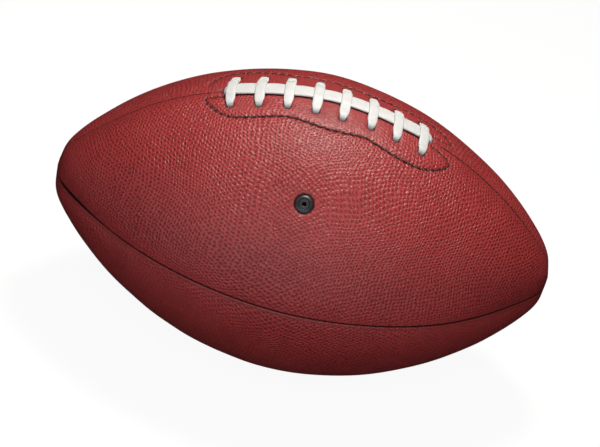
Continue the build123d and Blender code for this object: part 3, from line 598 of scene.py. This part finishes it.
def panel(name, start, laced, mirror, seed):
    """One cover panel, from the seam at angle start (0 is +Z, 90 is -Y) over 90
    degrees. A laced panel has the slit, holes and facing stitches at its first
    seam; mirror builds it on the +Y side instead."""
    end = ARC_HALF - 0.9
    if laced:
        sa, sb = float(arc_of_x(-80)), float(arc_of_x(78))
        sig = spacing([(-end, 0.8), (-end + 22, 1.9), (sa, 0.66), (sb, 1.9), (end - 22, 0.8), (end, 0)])
        first = spacing([(LACE_FOLD_R, 0.62), (27.0, 1.1), (33.0, 2.1), (53.0, 1.0), (60.2, 0)])
    else:
        sig = spacing([(-end, 0.7), (-end + 22, 1.5), (end - 22, 0.7), (end, 0)])
        first = spacing([(FOLD_R, 0.55), (6.0, 1.2), (14.0, 1.9), (60.2, 0)])
    second = spacing([(FOLD_R, 0.6), (6.0, 1.3), (14.0, 2.1), (53.0, 1.0 if laced else 1.9), (60.2, 0)])
    x, r, nx, nr = at_arc(sig)
    half = r * math.sin(math.pi / 4)

    def columns(a):
        return a[None, :] / (1 + a[None, :] * (1 / half[:, None] - 1 / 60.2))

    # the turned edge: down the flange, round the fold (distance, depth)
    shrink = np.clip(half / 6.0, 0.04, 1.0)

    def half_sheet(cols, lace_seam, front):
        """(distance from the seam plane, depth) over one half of the panel."""
        fr = LACE_FOLD_R if lace_seam else FOLD_R
        turn = [(0.0, 6.2), (0.0, 4.4), (0.0, fr + 0.9)]
        turn += [(fr * (1 - math.cos(g)), fr * (1 - math.sin(g))) for g in np.radians([0, 14, 28, 42, 56, 70, 81])]
        turn = np.array(turn)
        pitch = 0.5 + 0.5 * np.cos(2 * math.pi * sig / SEAM_PITCH)
        gap = 0.03 + 0.05 * pitch**2
        if lace_seam:
            gap = gap + 0.02 + 0.24 * smooth(56, 70, x) + 0.06 * smooth(-60, -74, x)
        if front:
            gap = gap + 0.20 + 0.06 * smooth(30, -70, x) + 0.22 * smooth(30, 105, x)
        if lace_seam:
            slit = smooth(3.0, 0.5, slit_out(x))
            gap = gap * (1 - slit) + 0.5 * slit
        gap = gap * shrink
        tipd = smooth(112, 138, np.abs(x))
        depth_scale = np.clip(1 - 0.75 * tipd, 0.05, 1)
        e_f = gap[:, None] + turn[None, :, 0] * shrink[:, None]
        d_f = np.where(turn[None, :, 1] > fr, fr * shrink[:, None] + (turn[None, :, 1] - fr) * depth_scale[:, None] * shrink[:, None], turn[None, :, 1] * shrink[:, None])
        e_t = gap[:, None] + columns(cols) * (1 - gap / half)[:, None]
        e_t[:, 0] = np.maximum(e_t[:, 0], e_f[:, -1] + 0.02 * shrink)
        e = np.concatenate([e_f, e_t], 1)
        d = np.concatenate([d_f, np.zeros_like(e_t)], 1)
        # seams sit a little below the panels' crowns, more so towards the tips
        near = 0.30 + 1.15 * (smooth(80, 130, np.abs(x)) * (1 - 0.55 * smooth(137, 142.5, np.abs(x))))[:, None]
        if lace_seam:
            near = (0.85 * near + 0.45 * smooth(66, 100, x)[:, None] * smooth(141, 128, x)[:, None]) * (1 - 0.85 * smooth(14, -4, slit_out(x))[:, None])
        d = d + near * np.exp(-(e / 6.5) ** 2) * shrink[:, None]
        # a small pucker at each stitch of the seam
        puck = (0.10 if lace_seam else 0.07) * np.cos(2 * math.pi * sig / SEAM_PITCH)[:, None]
        if lace_seam:
            puck = puck * smooth(-1, 5, slit_out(x))[:, None]
        d = d + puck * np.exp(-(e / 3.2) ** 2) * shrink[:, None]
        # painted shade, only far down the fold
        fold = np.concatenate([(smooth(0.04, 0.6, turn[:, 1] / fr) if lace_seam else smooth(0.06, 0.7, turn[:, 1] / fr))[None, :] + 0 * e_f, np.zeros_like(e_t)], 1)
        return e, d, gap, len(turn), fold

    at_front = not mirror and start < 1
    eA, dA, gapA, turned_a, foldA = half_sheet(first, laced, not mirror and 89 < start < 91)
    eB, dB, gapB, turned_b, foldB = half_sheet(second[:-1], False, at_front)
    nA, nB = eA.shape[1], eB.shape[1]
    e = np.concatenate([eA, eB[:, ::-1]], 1)
    d = np.concatenate([dA, dB[:, ::-1]], 1)
    fold = np.concatenate([foldA, foldB[:, ::-1]], 1)
    isB = np.zeros(e.shape, bool)
    isB[:, nA:] = True

    # places on the plain surface, for masks
    rr = r[:, None] + 0 * e
    ang = np.arcsin(np.clip(e / rr, -1, 1))
    ang = np.where(isB, math.pi / 2 - ang, ang)
    arc = ang * rr                      # arc from the first seam
    X = x[:, None] + 0 * e
    S = sig[:, None] + 0 * e
    press = np.zeros(e.shape)
    painted_shade = np.zeros(e.shape)

    top = np.ones(e.shape, bool)
    top[:, :turned_a - 1] = False
    top[:, nA + nB - turned_b + 1:] = False

    holes = []
    if laced:
        side = 1.0 if mirror else -1.0
        needle = BACK_NEEDLE if mirror else FRONT_NEEDLE
        dist = seg_distance(X, arc, needle)
        ins = inside(X, arc, needle)
        ins |= (slit_out(X) < 7) & (arc < 9) & (arc > -1)
        # the stitches pull the leather down, more at each needle hole
        sgn = np.where(ins, -dist, dist)
        body = np.exp(-(dist / 0.95) ** 2)
        d = d + np.where(top, 0.30 * body + 0.20 * np.exp(-(dist / 3.0) ** 2), 0)
        for hx, ha in needle:
            q = np.hypot(X - hx, arc - ha)
            d = d + np.where(top, 0.45 * np.exp(-(q / 0.75) ** 2), 0)
            # painted shade in each needle hole
            painted_shade = np.maximum(painted_shade, np.where(top, 0.75 * smooth(1.0, 0.35, q) if mirror else smooth(1.3, 0.5, q), 0))
        # faint painted shade along the stitch line
        painted_shade = np.maximum(painted_shade, np.where(top, 0.16 * np.exp(-(dist / 0.6) ** 2), 0))
        # the facing lifts the leather between the stitches and the slit
        lift = smooth(0.5, -4.5, sgn)
        d = d - np.where(top, 0.30 * lift, 0)
        press = np.maximum(press, smooth(2.0, -5.0, sgn) * (0.22 + 0.60 * smooth(-40, -10, X) * smooth(42, 18, X)))
        # lace holes, pulled in towards the lace
        for f, a in zip(FRAMES, BACK_ARC if mirror else FRONT_ARC):
            c = across(f, side * a, np.array(0.0))
            holes.append((c, across_axis(f, side * a), HOLE_R))
            hx, ha = c[0], math.atan2(abs(c[1]), c[2]) * float(at_x(c[0])[1])
            q = np.hypot(X - hx, arc - ha)
            d = d + np.where(top, 0.25 * np.exp(-((q - 1.9) / 1.2) ** 2) + 0.14 * np.exp(-(q / 4.6) ** 2), 0)
            # painted shade round the rim of each lace hole
            painted_shade = np.maximum(painted_shade, np.where(top, 0.8 * smooth(3.0, 2.4, q), 0))
            # the tight lace draws a shallow channel in the leather
            strap = smooth(4.2, 2.4, np.abs(X - hx)) * smooth(ha + 1, ha - 2, arc)
            d = d + np.where(top, 0.22 * strap, 0)
        # the leather dips along the edge of the long run, with painted shadow there under the run's edge
        q = arc - (RUN_HALF + side * run_y(X))
        by = smooth(-1.5, 2.0, -slit_out(X)) * smooth(1.1, 0.3, np.abs(q))
        d = d + np.where(top, 0.22 * by, 0)
        painted_shade = np.maximum(painted_shade, np.where(top, 0.85 * by, 0))
        # a dimple at each end of the slit, with painted shade round it
        for f in SLIT_FRAMES:
            q = np.hypot(X - f[0][0], arc)
            d = d + 0.5 * np.exp(-(q / 3.6) ** 2)
            painted_shade = np.maximum(painted_shade, 0.6 * smooth(3.4, 2.2, q))
    if laced and not mirror:
        holes.append((VALVE_P, VALVE_N, STEM_HOLE_R))
        va = VALVE_ANGLE * vr
        q = np.hypot(X - vx, arc - va)
        d = d + np.where(top, 0.55 * np.exp(-((q - 4.9) / 0.85) ** 2) - 0.16 * np.exp(-((q - 7.0) / 1.4) ** 2), 0)
        # painted shade round the rim of the valve hole
        painted_shade = np.maximum(painted_shade, np.where(top, 0.85 * smooth(5.75, 5.35, q), 0))
        press = np.maximum(press, 0.75 * smooth(8.2, 5.8, q))

    # a hand-made, filled cover is never a perfect turning
    flat = np.stack([X, rr * np.sin(ang + math.radians(start)), rr * np.cos(ang + math.radians(start))], -1)
    fade = smooth(0.0, 14.0, np.minimum(arc, rr * math.pi / 2 - arc))
    d = d + fade * (0.16 * waves(flat, 70.0, seed) + 0.06 * waves(flat, 22.0, seed + 7))
    # panels crown between their seams near the tips
    crown = np.sin(2 * ang) ** 2
    d = d - crown * 0.55 * (smooth(70, 118, np.abs(X)) * smooth(143, 128, np.abs(X)))
    # at the left end the lower panel stands proud of the upper one
    end_x = smooth(-106, -130, X) * smooth(-141.5, -136, X)
    if not laced and start < 100:
        d = d - 1.0 * end_x * np.exp(-(arc / 10.0) ** 2)
    elif at_front:
        d = d + 0.25 * end_x * np.exp(-((rr * math.pi / 2 - arc) / 8.0) ** 2)
    # seams: painted shade down the fold and at the seam edge; grain pressed flat beside them
    mind = np.where(isB, e - gapB[:, None], e - gapA[:, None])
    painted_shade = np.maximum(painted_shade, np.where(top, np.where(laced & ~isB, 0.25 + 0.35 * smooth(3.0, 14.0, slit_out(X)), 0.40) * smooth(0.9, 0.2, mind), fold))
    # painted shade in a band on the lower front panel beside the front seam
    if not mirror and 89 < start < 91:
        painted_shade = np.maximum(painted_shade, np.where(top & ~isB, 0.34 * smooth(2.8, 0.3, mind), 0))
    press = np.maximum(press, 0.55 * smooth(4.5, 1.0, mind))
    press = np.maximum(press, 0.45 * smooth(118, 138, np.abs(X)))

    # to space
    x2 = x[:, None] - d * nx[:, None]
    r2 = np.maximum(r[:, None] - d * nr[:, None], 0.05)
    # true distance from the seam plane near the seam, the plain angle mid-panel
    a1 = np.arcsin(np.clip(e / rr, -1, 1))
    a2 = a1 + (np.arcsin(np.clip(e / r2, -1, 1)) - a1) * smooth(0.85, 0.25, e / half[:, None])
    a2 = np.where(isB, math.pi / 2 - a2, a2)
    th = math.radians(start) + a2
    verts = np.stack([x2, -r2 * np.sin(th), r2 * np.cos(th)], -1)
    if mirror:
        verts[..., 1] *= -1
    # the two ends of the filled cover lie a little out of line
    verts = verts + smooth(80, 138, X)[..., None] * RIGHT_END + smooth(-80, -138, X)[..., None] * LEFT_END
    nu, nv = e.shape
    # the leather's inner face, skived thin at the turned edges and the tips
    across_u, across_v = np.gradient(verts, axis=0), np.gradient(verts, axis=1)
    normal = np.cross(across_v, across_u) * (-1 if mirror else 1)
    normal /= np.maximum(np.linalg.norm(normal, axis=-1), 1e-9)[..., None]
    skin = np.minimum(0.70 + (SKIN - 0.70) * smooth(0.5, 5.0, mind), 0.25 * half[:, None])
    inner = verts - normal * skin[..., None]
    grain = np.stack([S + 37.0 * seed, (ang - math.pi / 4) * rr * (-1 if mirror else 1) + 61.0 * seed], -1).reshape(-1, 2)
    v = verts.reshape(-1, 3).copy()
    w = inner.reshape(-1, 3).copy()
    i = np.arange(nu - 1)[:, None] * nv + np.arange(nv - 1)[None, :]
    quads = np.stack([i, i + 1, i + nv + 1, i + nv], -1).reshape(-1, 4)
    if mirror:
        quads = quads[:, ::-1]
    # real holes: drop the faces inside, draw the rim onto the circle
    mid = v[quads].mean(1)
    drop = np.zeros(len(quads), bool)
    for c, n, rad in holes:
        dd = mid - c
        h = dd @ n
        q = np.linalg.norm(dd - h[:, None] * n, axis=1)
        drop |= (q < rad) & (np.abs(h) < 4)
    gone = np.unique(quads[drop])
    kept = np.unique(quads[~drop])
    rim = np.intersect1d(gone, kept)
    for side_pts in (v, w):
        for c, n, rad in holes:
            dd = side_pts[rim] - c
            h = dd @ n
            lat = dd - h[:, None] * n
            q = np.linalg.norm(lat, axis=1)
            near = (q < rad + 1.3) & (np.abs(h) < 5)
            sel = rim[near]
            side_pts[sel] = c + h[near][:, None] * n + lat[near] / q[near][:, None] * rad
    quads = quads[~drop]
    used = np.unique(quads)
    remap = -np.ones(len(v), int)
    remap[used] = np.arange(len(used))
    quads = remap[quads]
    count = len(used)
    # close the sheet: inner face, and a wall along every free edge
    ea = quads.ravel()
    eb = np.roll(quads, -1, axis=1).ravel()
    key = np.minimum(ea, eb).astype(np.int64) * count + np.maximum(ea, eb)
    _, first_at, times = np.unique(key, return_index=True, return_counts=True)
    free = first_at[times == 1]
    fa, fb = ea[free], eb[free]
    walls = np.stack([fb, fa, fa + count, fb + count], -1)
    faces = np.concatenate([quads, quads[:, ::-1] + count, walls])
    ob = new_object(name, np.concatenate([v[used], w[used]]), faces.tolist(), LEATHER)
    me = ob.data
    layer = me.uv_layers.new(name="grain")
    li = np.zeros(len(me.loops), int)
    me.loops.foreach_get("vertex_index", li)
    layer.data.foreach_set("uv", np.tile(grain[used], (2, 1))[li].astype(np.float32).ravel())
    point_attribute(ob, "press", np.concatenate([press.reshape(-1)[used], np.ones(count)]))
    # the inner face is painted in shade
    point_attribute(ob, "painted_shade", np.concatenate([painted_shade.reshape(-1)[used], np.full(count, 0.8)]))
    print(name, "triangles", 2 * len(faces))
    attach(ob, "ball")
    return ob


PANELS = [
    ("cover_valve_side", "valve_side_panel", 0.0, True, False, 1),
    ("cover_lace_side", "lace_side_panel", 0.0, True, True, 2),
    ("cover_lower_front", "lower_front_panel", 90.0, False, False, 3),
    ("cover_lower_back", "lower_back_panel", 180.0, False, False, 4),
]
for name, cad, start, laced, mirror, seed in PANELS:
    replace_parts(panel(name, start, laced, mirror, seed), cad)


# ------------------------------------------------------------------------ lace
def on_depth(xy, depth):
    """Points on the layer at a depth, above plan points (x, y)."""
    xy = np.asarray(xy, float)
    px, r, nx, nr = at_x(xy[:, 0])
    return np.stack([xy[:, 0], xy[:, 1], np.sqrt(np.maximum((r - depth / nr) ** 2 - xy[:, 1] ** 2, 0))], 1)


def cross_points(f, i):
    """Middle line of one cross, near (-Y) hole to far (+Y) hole: over the long
    run, down its sides to the leather, then into the holes."""
    rng = np.random.default_rng(40 + i)
    top, flat, bend = 2.42, 0.86, 1.5

    def side(arc, edge):
        arc = arc - 0.55
        end = arc - bend
        s1 = np.linspace(0, end, 46)
        h1 = flat + (top - flat) * (1 - smooth(edge - 0.7, min(edge + 4.0, end), s1)) + 0.06 * np.sin(s1 * 0.9 + i)
        g = np.linspace(0, math.pi / 2, 14)[1:]
        s2, h2 = end + bend * np.sin(g), h1[-1] - bend * (1 - np.cos(g))
        h3 = np.linspace(h2[-1], -4.0, 8)[1:]
        s3 = np.full(len(h3), arc)
        sv, hv = np.concatenate([s1, s2, s3]), np.concatenate([h1, h2, h3])
        wv = np.interp(arc - sv, [0.0, 0.7, 1.9, 3.6, 6.0], [3.5, 4.0, 5.0, 5.5, 5.65])
        return sv, hv, np.minimum(wv, np.interp(hv, [-4.0, -1.0, 0.5], [3.4, 3.45, 9.0]))

    mid = float(run_y(CROSS_X[i]))
    sn, hn, wn = side(FRONT_ARC[i], RUN_HALF - mid)
    sf, hf, wf = side(BACK_ARC[i], RUN_HALF + mid)
    sv = np.concatenate([-sn[:0:-1], sf])
    hv = np.concatenate([hn[:0:-1], hf])
    wv = np.concatenate([wn[:0:-1], wf])
    sway = 0.22 * rng.normal() * np.cos(sv / 14.0 * math.pi / 2)
    pts = across(f, sv, hv) + sway[:, None] * f[1]
    return pts, np.tile(f[1], (len(sv), 1)), wv, np.full(len(sv), 1.62), hv


def lace_route():
    P, W, width, thick, high = [], [], [], [], []

    def put(p, w, wd, th, hh):
        P.append(np.atleast_2d(p)); W.append(np.atleast_2d(w)); width.append(np.atleast_1d(wd)); thick.append(np.atleast_1d(th)); high.append(np.atleast_1d(hh))

    def under(a, b, grow_a=0.0, grow_b=0.0, n=26):
        """A run under the facing from plan point a to plan point b."""
        a, b = np.array(a[:2]), np.array(b[:2])
        t = np.linspace(0.07, 0.93, n)
        xy = a + (b - a) * t[:, None]
        pts = on_depth(xy, 4.8)
        d = (b - a) / np.linalg.norm(b - a)
        put(pts, np.tile([d[1], -d[0], 0.0], (n, 1)), np.full(n, 4.1), np.full(n, 1.45), np.full(n, -4.8))

    near = [across(f, -a, np.array(-4.8)) for f, a in zip(FRAMES, FRONT_ARC)]
    far = [across(f, a, np.array(-4.8)) for f, a in zip(FRAMES, BACK_ARC)]
    ends = [f[0] - 4.8 * f[2] for f in SLIT_FRAMES]
    tail = near[0] + np.array([-7.0, 5.0, 0])
    under(tail, near[0], n=10)
    for i, f in enumerate(FRAMES):
        p, w, wd, th, hh = cross_points(f, i)
        put(p, w, wd, th, hh)
        if i < CROSSES - 1:
            under(far[i], near[i + 1])
    under(far[-1], ends[1])
    # up through the slit's right end, along the seam, down at its left end
    f = SLIT_FRAMES[1]
    put(f[0] + np.linspace(-4.0, -0.6, 6)[:, None] * f[2] + 1.5 * f[1], np.tile([0.0, 1.0, 0.0], (6, 1)), np.full(6, 4.6), np.full(6, 2.0), np.linspace(-4, -0.6, 6))
    xs = np.linspace(SLIT_X[1] + 0.5, SLIT_X[0] + 0.2, 260)
    px, r, nx, nr = at_x(xs)
    inset = -slit_out(xs)
    lift = np.interp(inset, [-0.5, 4.0], [0.66, 0.98])
    # the crosses hold the run down; it swells a little between them
    gapw = np.min(np.abs(xs[:, None] - CROSS_X[None, :]), axis=1)
    lift = lift + 0.10 * smooth(2.5, 7.5, gapw)
    mid = run_y(xs) + 0.10 * np.sin(xs * 0.31)
    up = np.sqrt(np.maximum((r + lift / nr) ** 2 - mid**2, 0))
    pts = np.stack([px + lift * nx, mid, up], 1)
    tilt = np.stack([0 * mid, up, -mid], 1) / np.hypot(up, mid)[:, None]
    put(pts, tilt, np.interp(inset, [-0.5, 2.2, 6.0], [5.4, 6.8, 2 * RUN_HALF]) + 0.2 * smooth(2.5, 7.0, gapw),
        np.full(len(xs), 1.75), np.full(len(xs), 1.0))
    f = SLIT_FRAMES[0]
    put(f[0] + np.linspace(-0.6, -4.0, 6)[:, None] * f[2], np.tile([0.0, 1.0, 0.0], (6, 1)), np.full(6, 4.0), np.full(6, 2.0), np.linspace(-0.6, -4, 6))
    under(ends[0], ends[0] + np.array([2.5, 9.5, 0]), n=10)
    return [np.concatenate(v) for v in (P, W, width, thick, high)]


def build_lace():
    P, W, wd, th, hh = lace_route()
    run = np.concatenate([[0], np.cumsum(np.linalg.norm(np.diff(P, axis=0), axis=1))])
    n = int(run[-1] / 0.48)
    want = np.linspace(0, run[-1], n)
    at = lambda a: np.stack([np.interp(want, run, a[:, k]) for k in range(3)], 1)
    # keep the facing of the strap continuous before it is smoothed
    for i in range(1, len(W)):
        if W[i] @ W[i - 1] < 0:
            W[i:] = -W[i:]
    P2, W2 = at(P), at(W)
    wd2, th2, hh2 = (np.interp(want, run, a) for a in (wd, th, hh))
    for _ in range(6):
        P2[1:-1] = 0.5 * P2[1:-1] + 0.25 * (P2[:-2] + P2[2:])
    for _ in range(14):
        W2[1:-1] = 0.5 * W2[1:-1] + 0.25 * (W2[:-2] + W2[2:])
        wd2[1:-1] = 0.5 * wd2[1:-1] + 0.25 * (wd2[:-2] + wd2[2:])
        th2[1:-1] = 0.5 * th2[1:-1] + 0.25 * (th2[:-2] + th2[2:])
    T = np.gradient(P2, axis=0)
    T /= np.linalg.norm(T, axis=1)[:, None]
    W2 -= T * (W2 * T).sum(1)[:, None]
    W2 /= np.linalg.norm(W2, axis=1)[:, None]
    N2 = np.cross(W2, T)
    # rounded strap section: a flat top and bottom, full round edges
    k = 22
    g = 2 * math.pi * np.arange(k) / k
    cx = np.sign(np.cos(g)) * np.abs(np.cos(g)) ** 0.52
    cy = np.sign(np.sin(g)) * np.abs(np.sin(g)) ** 0.62
    rng = np.random.default_rng(5)
    drift = np.convolve(rng.normal(size=n + 60), np.ones(60) / 60, "same")[30:30 + n] * 2.2
    half = wd2 / 2 * (1 + 0.035 * drift)
    verts = P2[:, None, :] + (half[:, None] * cx[None, :])[..., None] * W2[:, None, :] + ((th2 / 2)[:, None] * cy[None, :])[..., None] * N2[:, None, :]
    i = np.arange(n - 1)[:, None] * k + np.arange(k)[None, :]
    j = np.arange(n - 1)[:, None] * k + (np.arange(k)[None, :] + 1) % k
    faces = np.stack([i, j, j + k, i + k], -1).reshape(-1, 4).tolist()
    faces.append(list(range(k - 1, -1, -1)))
    faces.append([(n - 1) * k + q for q in range(k)])
    ob = new_object("laces", verts.reshape(-1, 3), faces, LACE)
    # darker and browner where the lace goes below the leather into the holes
    below_surface = np.repeat(smooth(-1.0, -3.0, hh2), k)
    point_attribute(ob, "below_surface", below_surface)
    me = ob.data
    layer = me.uv_layers.new(name="along")
    uvv = np.stack([np.repeat(want, k), np.tile(cx * 3.0, n)], 1)
    li = np.zeros(len(me.loops), int)
    me.loops.foreach_get("vertex_index", li)
    layer.data.foreach_set("uv", uvv[li].astype(np.float32).ravel())
    print("lace length mm", round(run[-1]))
    return ob


lace = build_lace()
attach(lace, "ball")
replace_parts(lace, "lace")


# ------------------------------------------------------------- facing stitches
def stitch_parts(mirror):
    parts = []
    needle = BACK_NEEDLE if mirror else FRONT_NEEDLE
    for a, b in zip(needle, needle[1:]):
        t = np.linspace(0.06, 0.94, 13)
        x = a[0] + (b[0] - a[0]) * t
        s = a[1] + (b[1] - a[1]) * t
        bow = np.sin(math.pi * (t - 0.06) / 0.88)
        mid = 0.5 * (a + b)
        # drawn deeper into the leather at the back row and on the way back
        back = float(smooth(13.0, 9.0, mid[1]))
        stout = (0.80 if mirror else 1.05 - 0.25 * float(smooth(46.0, 62.0, abs(mid[0])))) * (1 - 0.4 * back)
        h = -0.72 - (0.16 if mirror else 0.0) - 0.22 * back + 0.86 * bow**0.5
        top, n = on_ball(x, s, h)
        leg0 = top[0] - n[0] * np.array([[3.0], [1.4], [0.5]])
        leg1 = top[-1] - n[-1] * np.array([[0.5], [1.4], [3.0]])
        line = np.concatenate([leg0, top, leg1])
        line[:, 1] *= -1.0 if mirror else 1.0
        d = np.gradient(line, axis=0)
        d /= np.linalg.norm(d, axis=1)[:, None]
        nn = np.concatenate([n[:1].repeat(3, 0), n, n[-1:].repeat(3, 0)])
        nn[:, 1] *= -1.0 if mirror else 1.0
        side = np.cross(nn, d)
        side /= np.maximum(np.linalg.norm(side, axis=1), 1e-6)[:, None]
        up = np.cross(d, side)
        ph = np.linspace(0, 2.6 * math.pi, len(line))
        for k in range(2):
            off = 0.14 * stout * (np.cos(ph + k * math.pi)[:, None] * side + np.sin(ph + k * math.pi)[:, None] * up)
            parts.append(tube(line + off, stout * np.interp(np.arange(len(line)), [0, 3, 9, 15, 18], [0.16, 0.18, 0.21, 0.18, 0.16]), 7))
    return join(parts)


for name, cad, mirror in (("facing_stitches_front", "front_facing_stitches", False), ("facing_stitches_back", "back_facing_stitches", True)):
    ob = new_object(name, *stitch_parts(mirror), STITCH)
    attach(ob, "ball")
    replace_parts(ob, cad)


# ----------------------------------------------------------------------- valve
def turned(profile, sides=96):
    """Closed ring turned about the valve's axis from (radius, height) points."""
    z = VALVE_N / np.linalg.norm(VALVE_N)
    a = np.array([1.0, 0, 0]) - z * z[0]
    a /= np.linalg.norm(a)
    b = np.cross(z, a)
    pr = np.array(profile, float)
    n = len(pr)
    g = 2 * math.pi * np.arange(sides) / sides
    ring = np.cos(g)[:, None] * a + np.sin(g)[:, None] * b
    v = VALVE_P + ring[:, None, :] * pr[None, :, 0, None] + z * pr[None, :, 1, None]
    i = (np.arange(sides)[:, None] * n + np.arange(n)[None, :])
    i2 = ((np.arange(sides)[:, None] + 1) % sides * n + np.arange(n)[None, :])
    j = (np.arange(n) + 1) % n
    f = np.stack([i, i2, i2[:, j], i[:, j]], -1).reshape(-1, 4)
    return v.reshape(-1, 3), f.tolist()


def rounded(points, r=0.25, steps=4):
    """The closed outline with each corner cut back and rounded."""
    pts = [np.array(p, float) for p in points]
    out = []
    for k, p in enumerate(pts):
        a, b = pts[k - 1], pts[(k + 1) % len(pts)]
        ua, ub = a - p, b - p
        la, lb = np.linalg.norm(ua), np.linalg.norm(ub)
        ra = min(r, 0.45 * la, 0.45 * lb)
        p0, p1 = p + ua / la * ra, p + ub / lb * ra
        for s in range(steps + 1):
            t = s / steps
            out.append((1 - t) ** 2 * p0 + 2 * t * (1 - t) * p + t**2 * p1)
    return out


body_profile = rounded([
    (3.02, -14.0), (3.02, 0.02), (3.25, 0.30), (3.75, 0.20), (4.30, -0.08), (4.80, -0.45), (5.10, -0.85), (5.15, -1.4),
    (5.15, -4.5), (13.0, -5.75), (13.0, -6.9), (5.15, -6.0), (5.15, -13.2), (4.6, -14.0),
], 0.35)
body = new_object("valve_boot", *turned(body_profile), VALVE)
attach(body, "ball")
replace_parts(body, "valve_body")
core_profile = rounded([
    (1.1, -12.4), (1.1, -0.40), (1.22, -0.12), (1.55, 0.00), (2.30, 0.02), (2.75, -0.08), (2.95, -0.50),
    (2.95, -12.0), (2.6, -12.4),
], 0.18)
core = new_object("valve_plug", *turned(core_profile), VALVE)
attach(core, "valve_core")
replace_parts(core, "valve_core")

# --------------------------------------------- inner pieces kept from the frame
KEPT = {
    "valve_side_lining": LINING, "lace_side_lining": LINING, "lower_front_lining": LINING, "lower_back_lining": LINING,
    "front_lace_facing": FACING, "back_lace_facing": FACING, "lace_tongue": TONGUE,
    "lace_seam_thread": SEAM_THREAD, "front_seam_thread": SEAM_THREAD, "back_seam_thread": SEAM_THREAD, "bottom_seam_thread": SEAM_THREAD,
    "bladder": BLADDER, "valve_patch": BLADDER,
}
for n, m in KEPT.items():
    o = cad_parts[n]
    o.data.materials.clear()
    o.data.materials.append(m)

# ----------------------------------------------------------------------- stage
floor_z = -(BELLY_R + 0.15) * MM
me = bpy.data.meshes.new("floor")
me.from_pydata([(-9, -9, floor_z), (9, -9, floor_z), (9, 9, floor_z), (-9, 9, floor_z)], [], [(0, 1, 2, 3)])
floor = bpy.data.objects.new("floor", me)
bpy.context.scene.collection.objects.link(floor)
fm, fnt, fb = material("studio_floor")
fn = node(fnt, "ShaderNodeTexNoise", i_Scale=3.0, i_Detail=2.0)
fc = node(fnt, "ShaderNodeTexCoord")
fnt.links.new(fc.outputs["Object"], fn.inputs["Vector"])
fnt.links.new(ramp(fnt, fn.outputs["Fac"], [(0.3, (0.100, 0.100, 0.100)), (0.7, (0.105, 0.105, 0.105))]), fb.inputs["Base Color"])
fb.inputs["Emission Color"].default_value = (1.0, 1.0, 1.0, 1.0)
fb.inputs["Emission Strength"].default_value = 0.92
fb.inputs["Roughness"].default_value = 0.9
fb.inputs["Specular IOR Level"].default_value = 0.1
me.materials.append(fm)
floor.visible_diffuse = False
floor.visible_glossy = False

world = bpy.data.worlds.new("studio")
bpy.context.scene.world = world
world.use_nodes = True
wn = world.node_tree
wn.nodes.clear()
wout = wn.nodes.new("ShaderNodeOutputWorld")
bg = wn.nodes.new("ShaderNodeBackground")
wn.links.new(bg.outputs[0], wout.inputs[0])
tc = wn.nodes.new("ShaderNodeTexCoord")
sep = wn.nodes.new("ShaderNodeSeparateXYZ")
wn.links.new(tc.outputs["Generated"], sep.inputs[0])
up = maths(wn, "ADD", maths(wn, "MULTIPLY", sep.outputs[2], 0.5), 0.5)
dim = ramp(wn, up, [(0.0, (0.010, 0.010, 0.010)), (0.42, (0.012, 0.012, 0.012)), (0.56, (0.020, 0.020, 0.020)), (1.0, (0.024, 0.024, 0.024))])
ray = wn.nodes.new("ShaderNodeLightPath")
wn.links.new(mix(wn, ray.outputs["Is Camera Ray"], dim, (0.96, 0.96, 0.96)), bg.inputs[0])


def area(name, loc, target, size, size_y, power, color=(1, 1, 1)):
    l = bpy.data.lights.new(name, "AREA")
    l.shape = "RECTANGLE"
    l.size, l.size_y = size, size_y
    l.energy = power
    l.color = color
    o = bpy.data.objects.new(name, l)
    bpy.context.scene.collection.objects.link(o)
    o.location = loc
    o.rotation_euler = (Vector(target) - Vector(loc)).to_track_quat("-Z", "Y").to_euler()
    o.visible_camera = False
    return o


key = area("front_softbox", (0.0, -1.02, 1.20), (0, 0, 0), 1.1, 0.9, 8.2)
key.visible_glossy = False
area("top_softbox", (0.002, 0.108, 0.61), (0.02, -0.05, 0.07), 0.14, 0.145, 4.0, (1.0, 0.965, 0.90))
area("front_card", (0.05, -2.2, 0.72), (0, 0, 0.02), 2.2, 1.6, 20.0, (0.94, 0.97, 1.0))
area("floor_card", (-0.60, -0.93, -0.0845), (-0.60, -0.93, 1), 2.4, 1.26, 8.0, (0.94, 0.97, 1.0))
area("left_card", (-0.75, -0.85, 0.02), (-0.05, 0, -0.02), 0.7, 0.2, 0.7, (0.94, 0.97, 1.0))
fill = area("back_card", (0.1, 2.0, 0.30), (0, 0, 0), 1.8, 0.9, 6.0)
fill.visible_glossy = False

# ---------------------------------------------------------------------- camera
AZ, EL, ROLL = -0.0513710676, 0.632119950, 0.271529689
DIST = 1.211
F_PX = 2126.9
back = Vector((math.sin(AZ) * math.cos(EL), -math.cos(AZ) * math.cos(EL), math.sin(EL)))
right = Vector((math.cos(AZ), math.sin(AZ), 0))
upv = back.cross(right)
c, s = math.cos(ROLL), math.sin(ROLL)
cr, cu = right * c + upv * s, upv * c - right * s
cam = bpy.data.cameras.new("camera")
cam_o = bpy.data.objects.new("camera", cam)
bpy.context.scene.collection.objects.link(cam_o)
m = Matrix((cr, cu, back)).transposed().to_4x4()
m.translation = back * DIST
cam_o.matrix_world = m
cam.sensor_width = 36.0
cam.sensor_fit = "HORIZONTAL"
cam.lens = F_PX * 36.0 / 600.0
cam.shift_x = -2.44 / 600.0
cam.shift_y = -1.37 / 600.0
cam.clip_start, cam.clip_end = 0.05, 60.0
bpy.context.scene.camera = cam_o

bpy.context.scene.view_settings.view_transform = "Standard"
bpy.context.scene.view_settings.look = "None"
bpy.context.scene.view_settings.exposure = 0.0
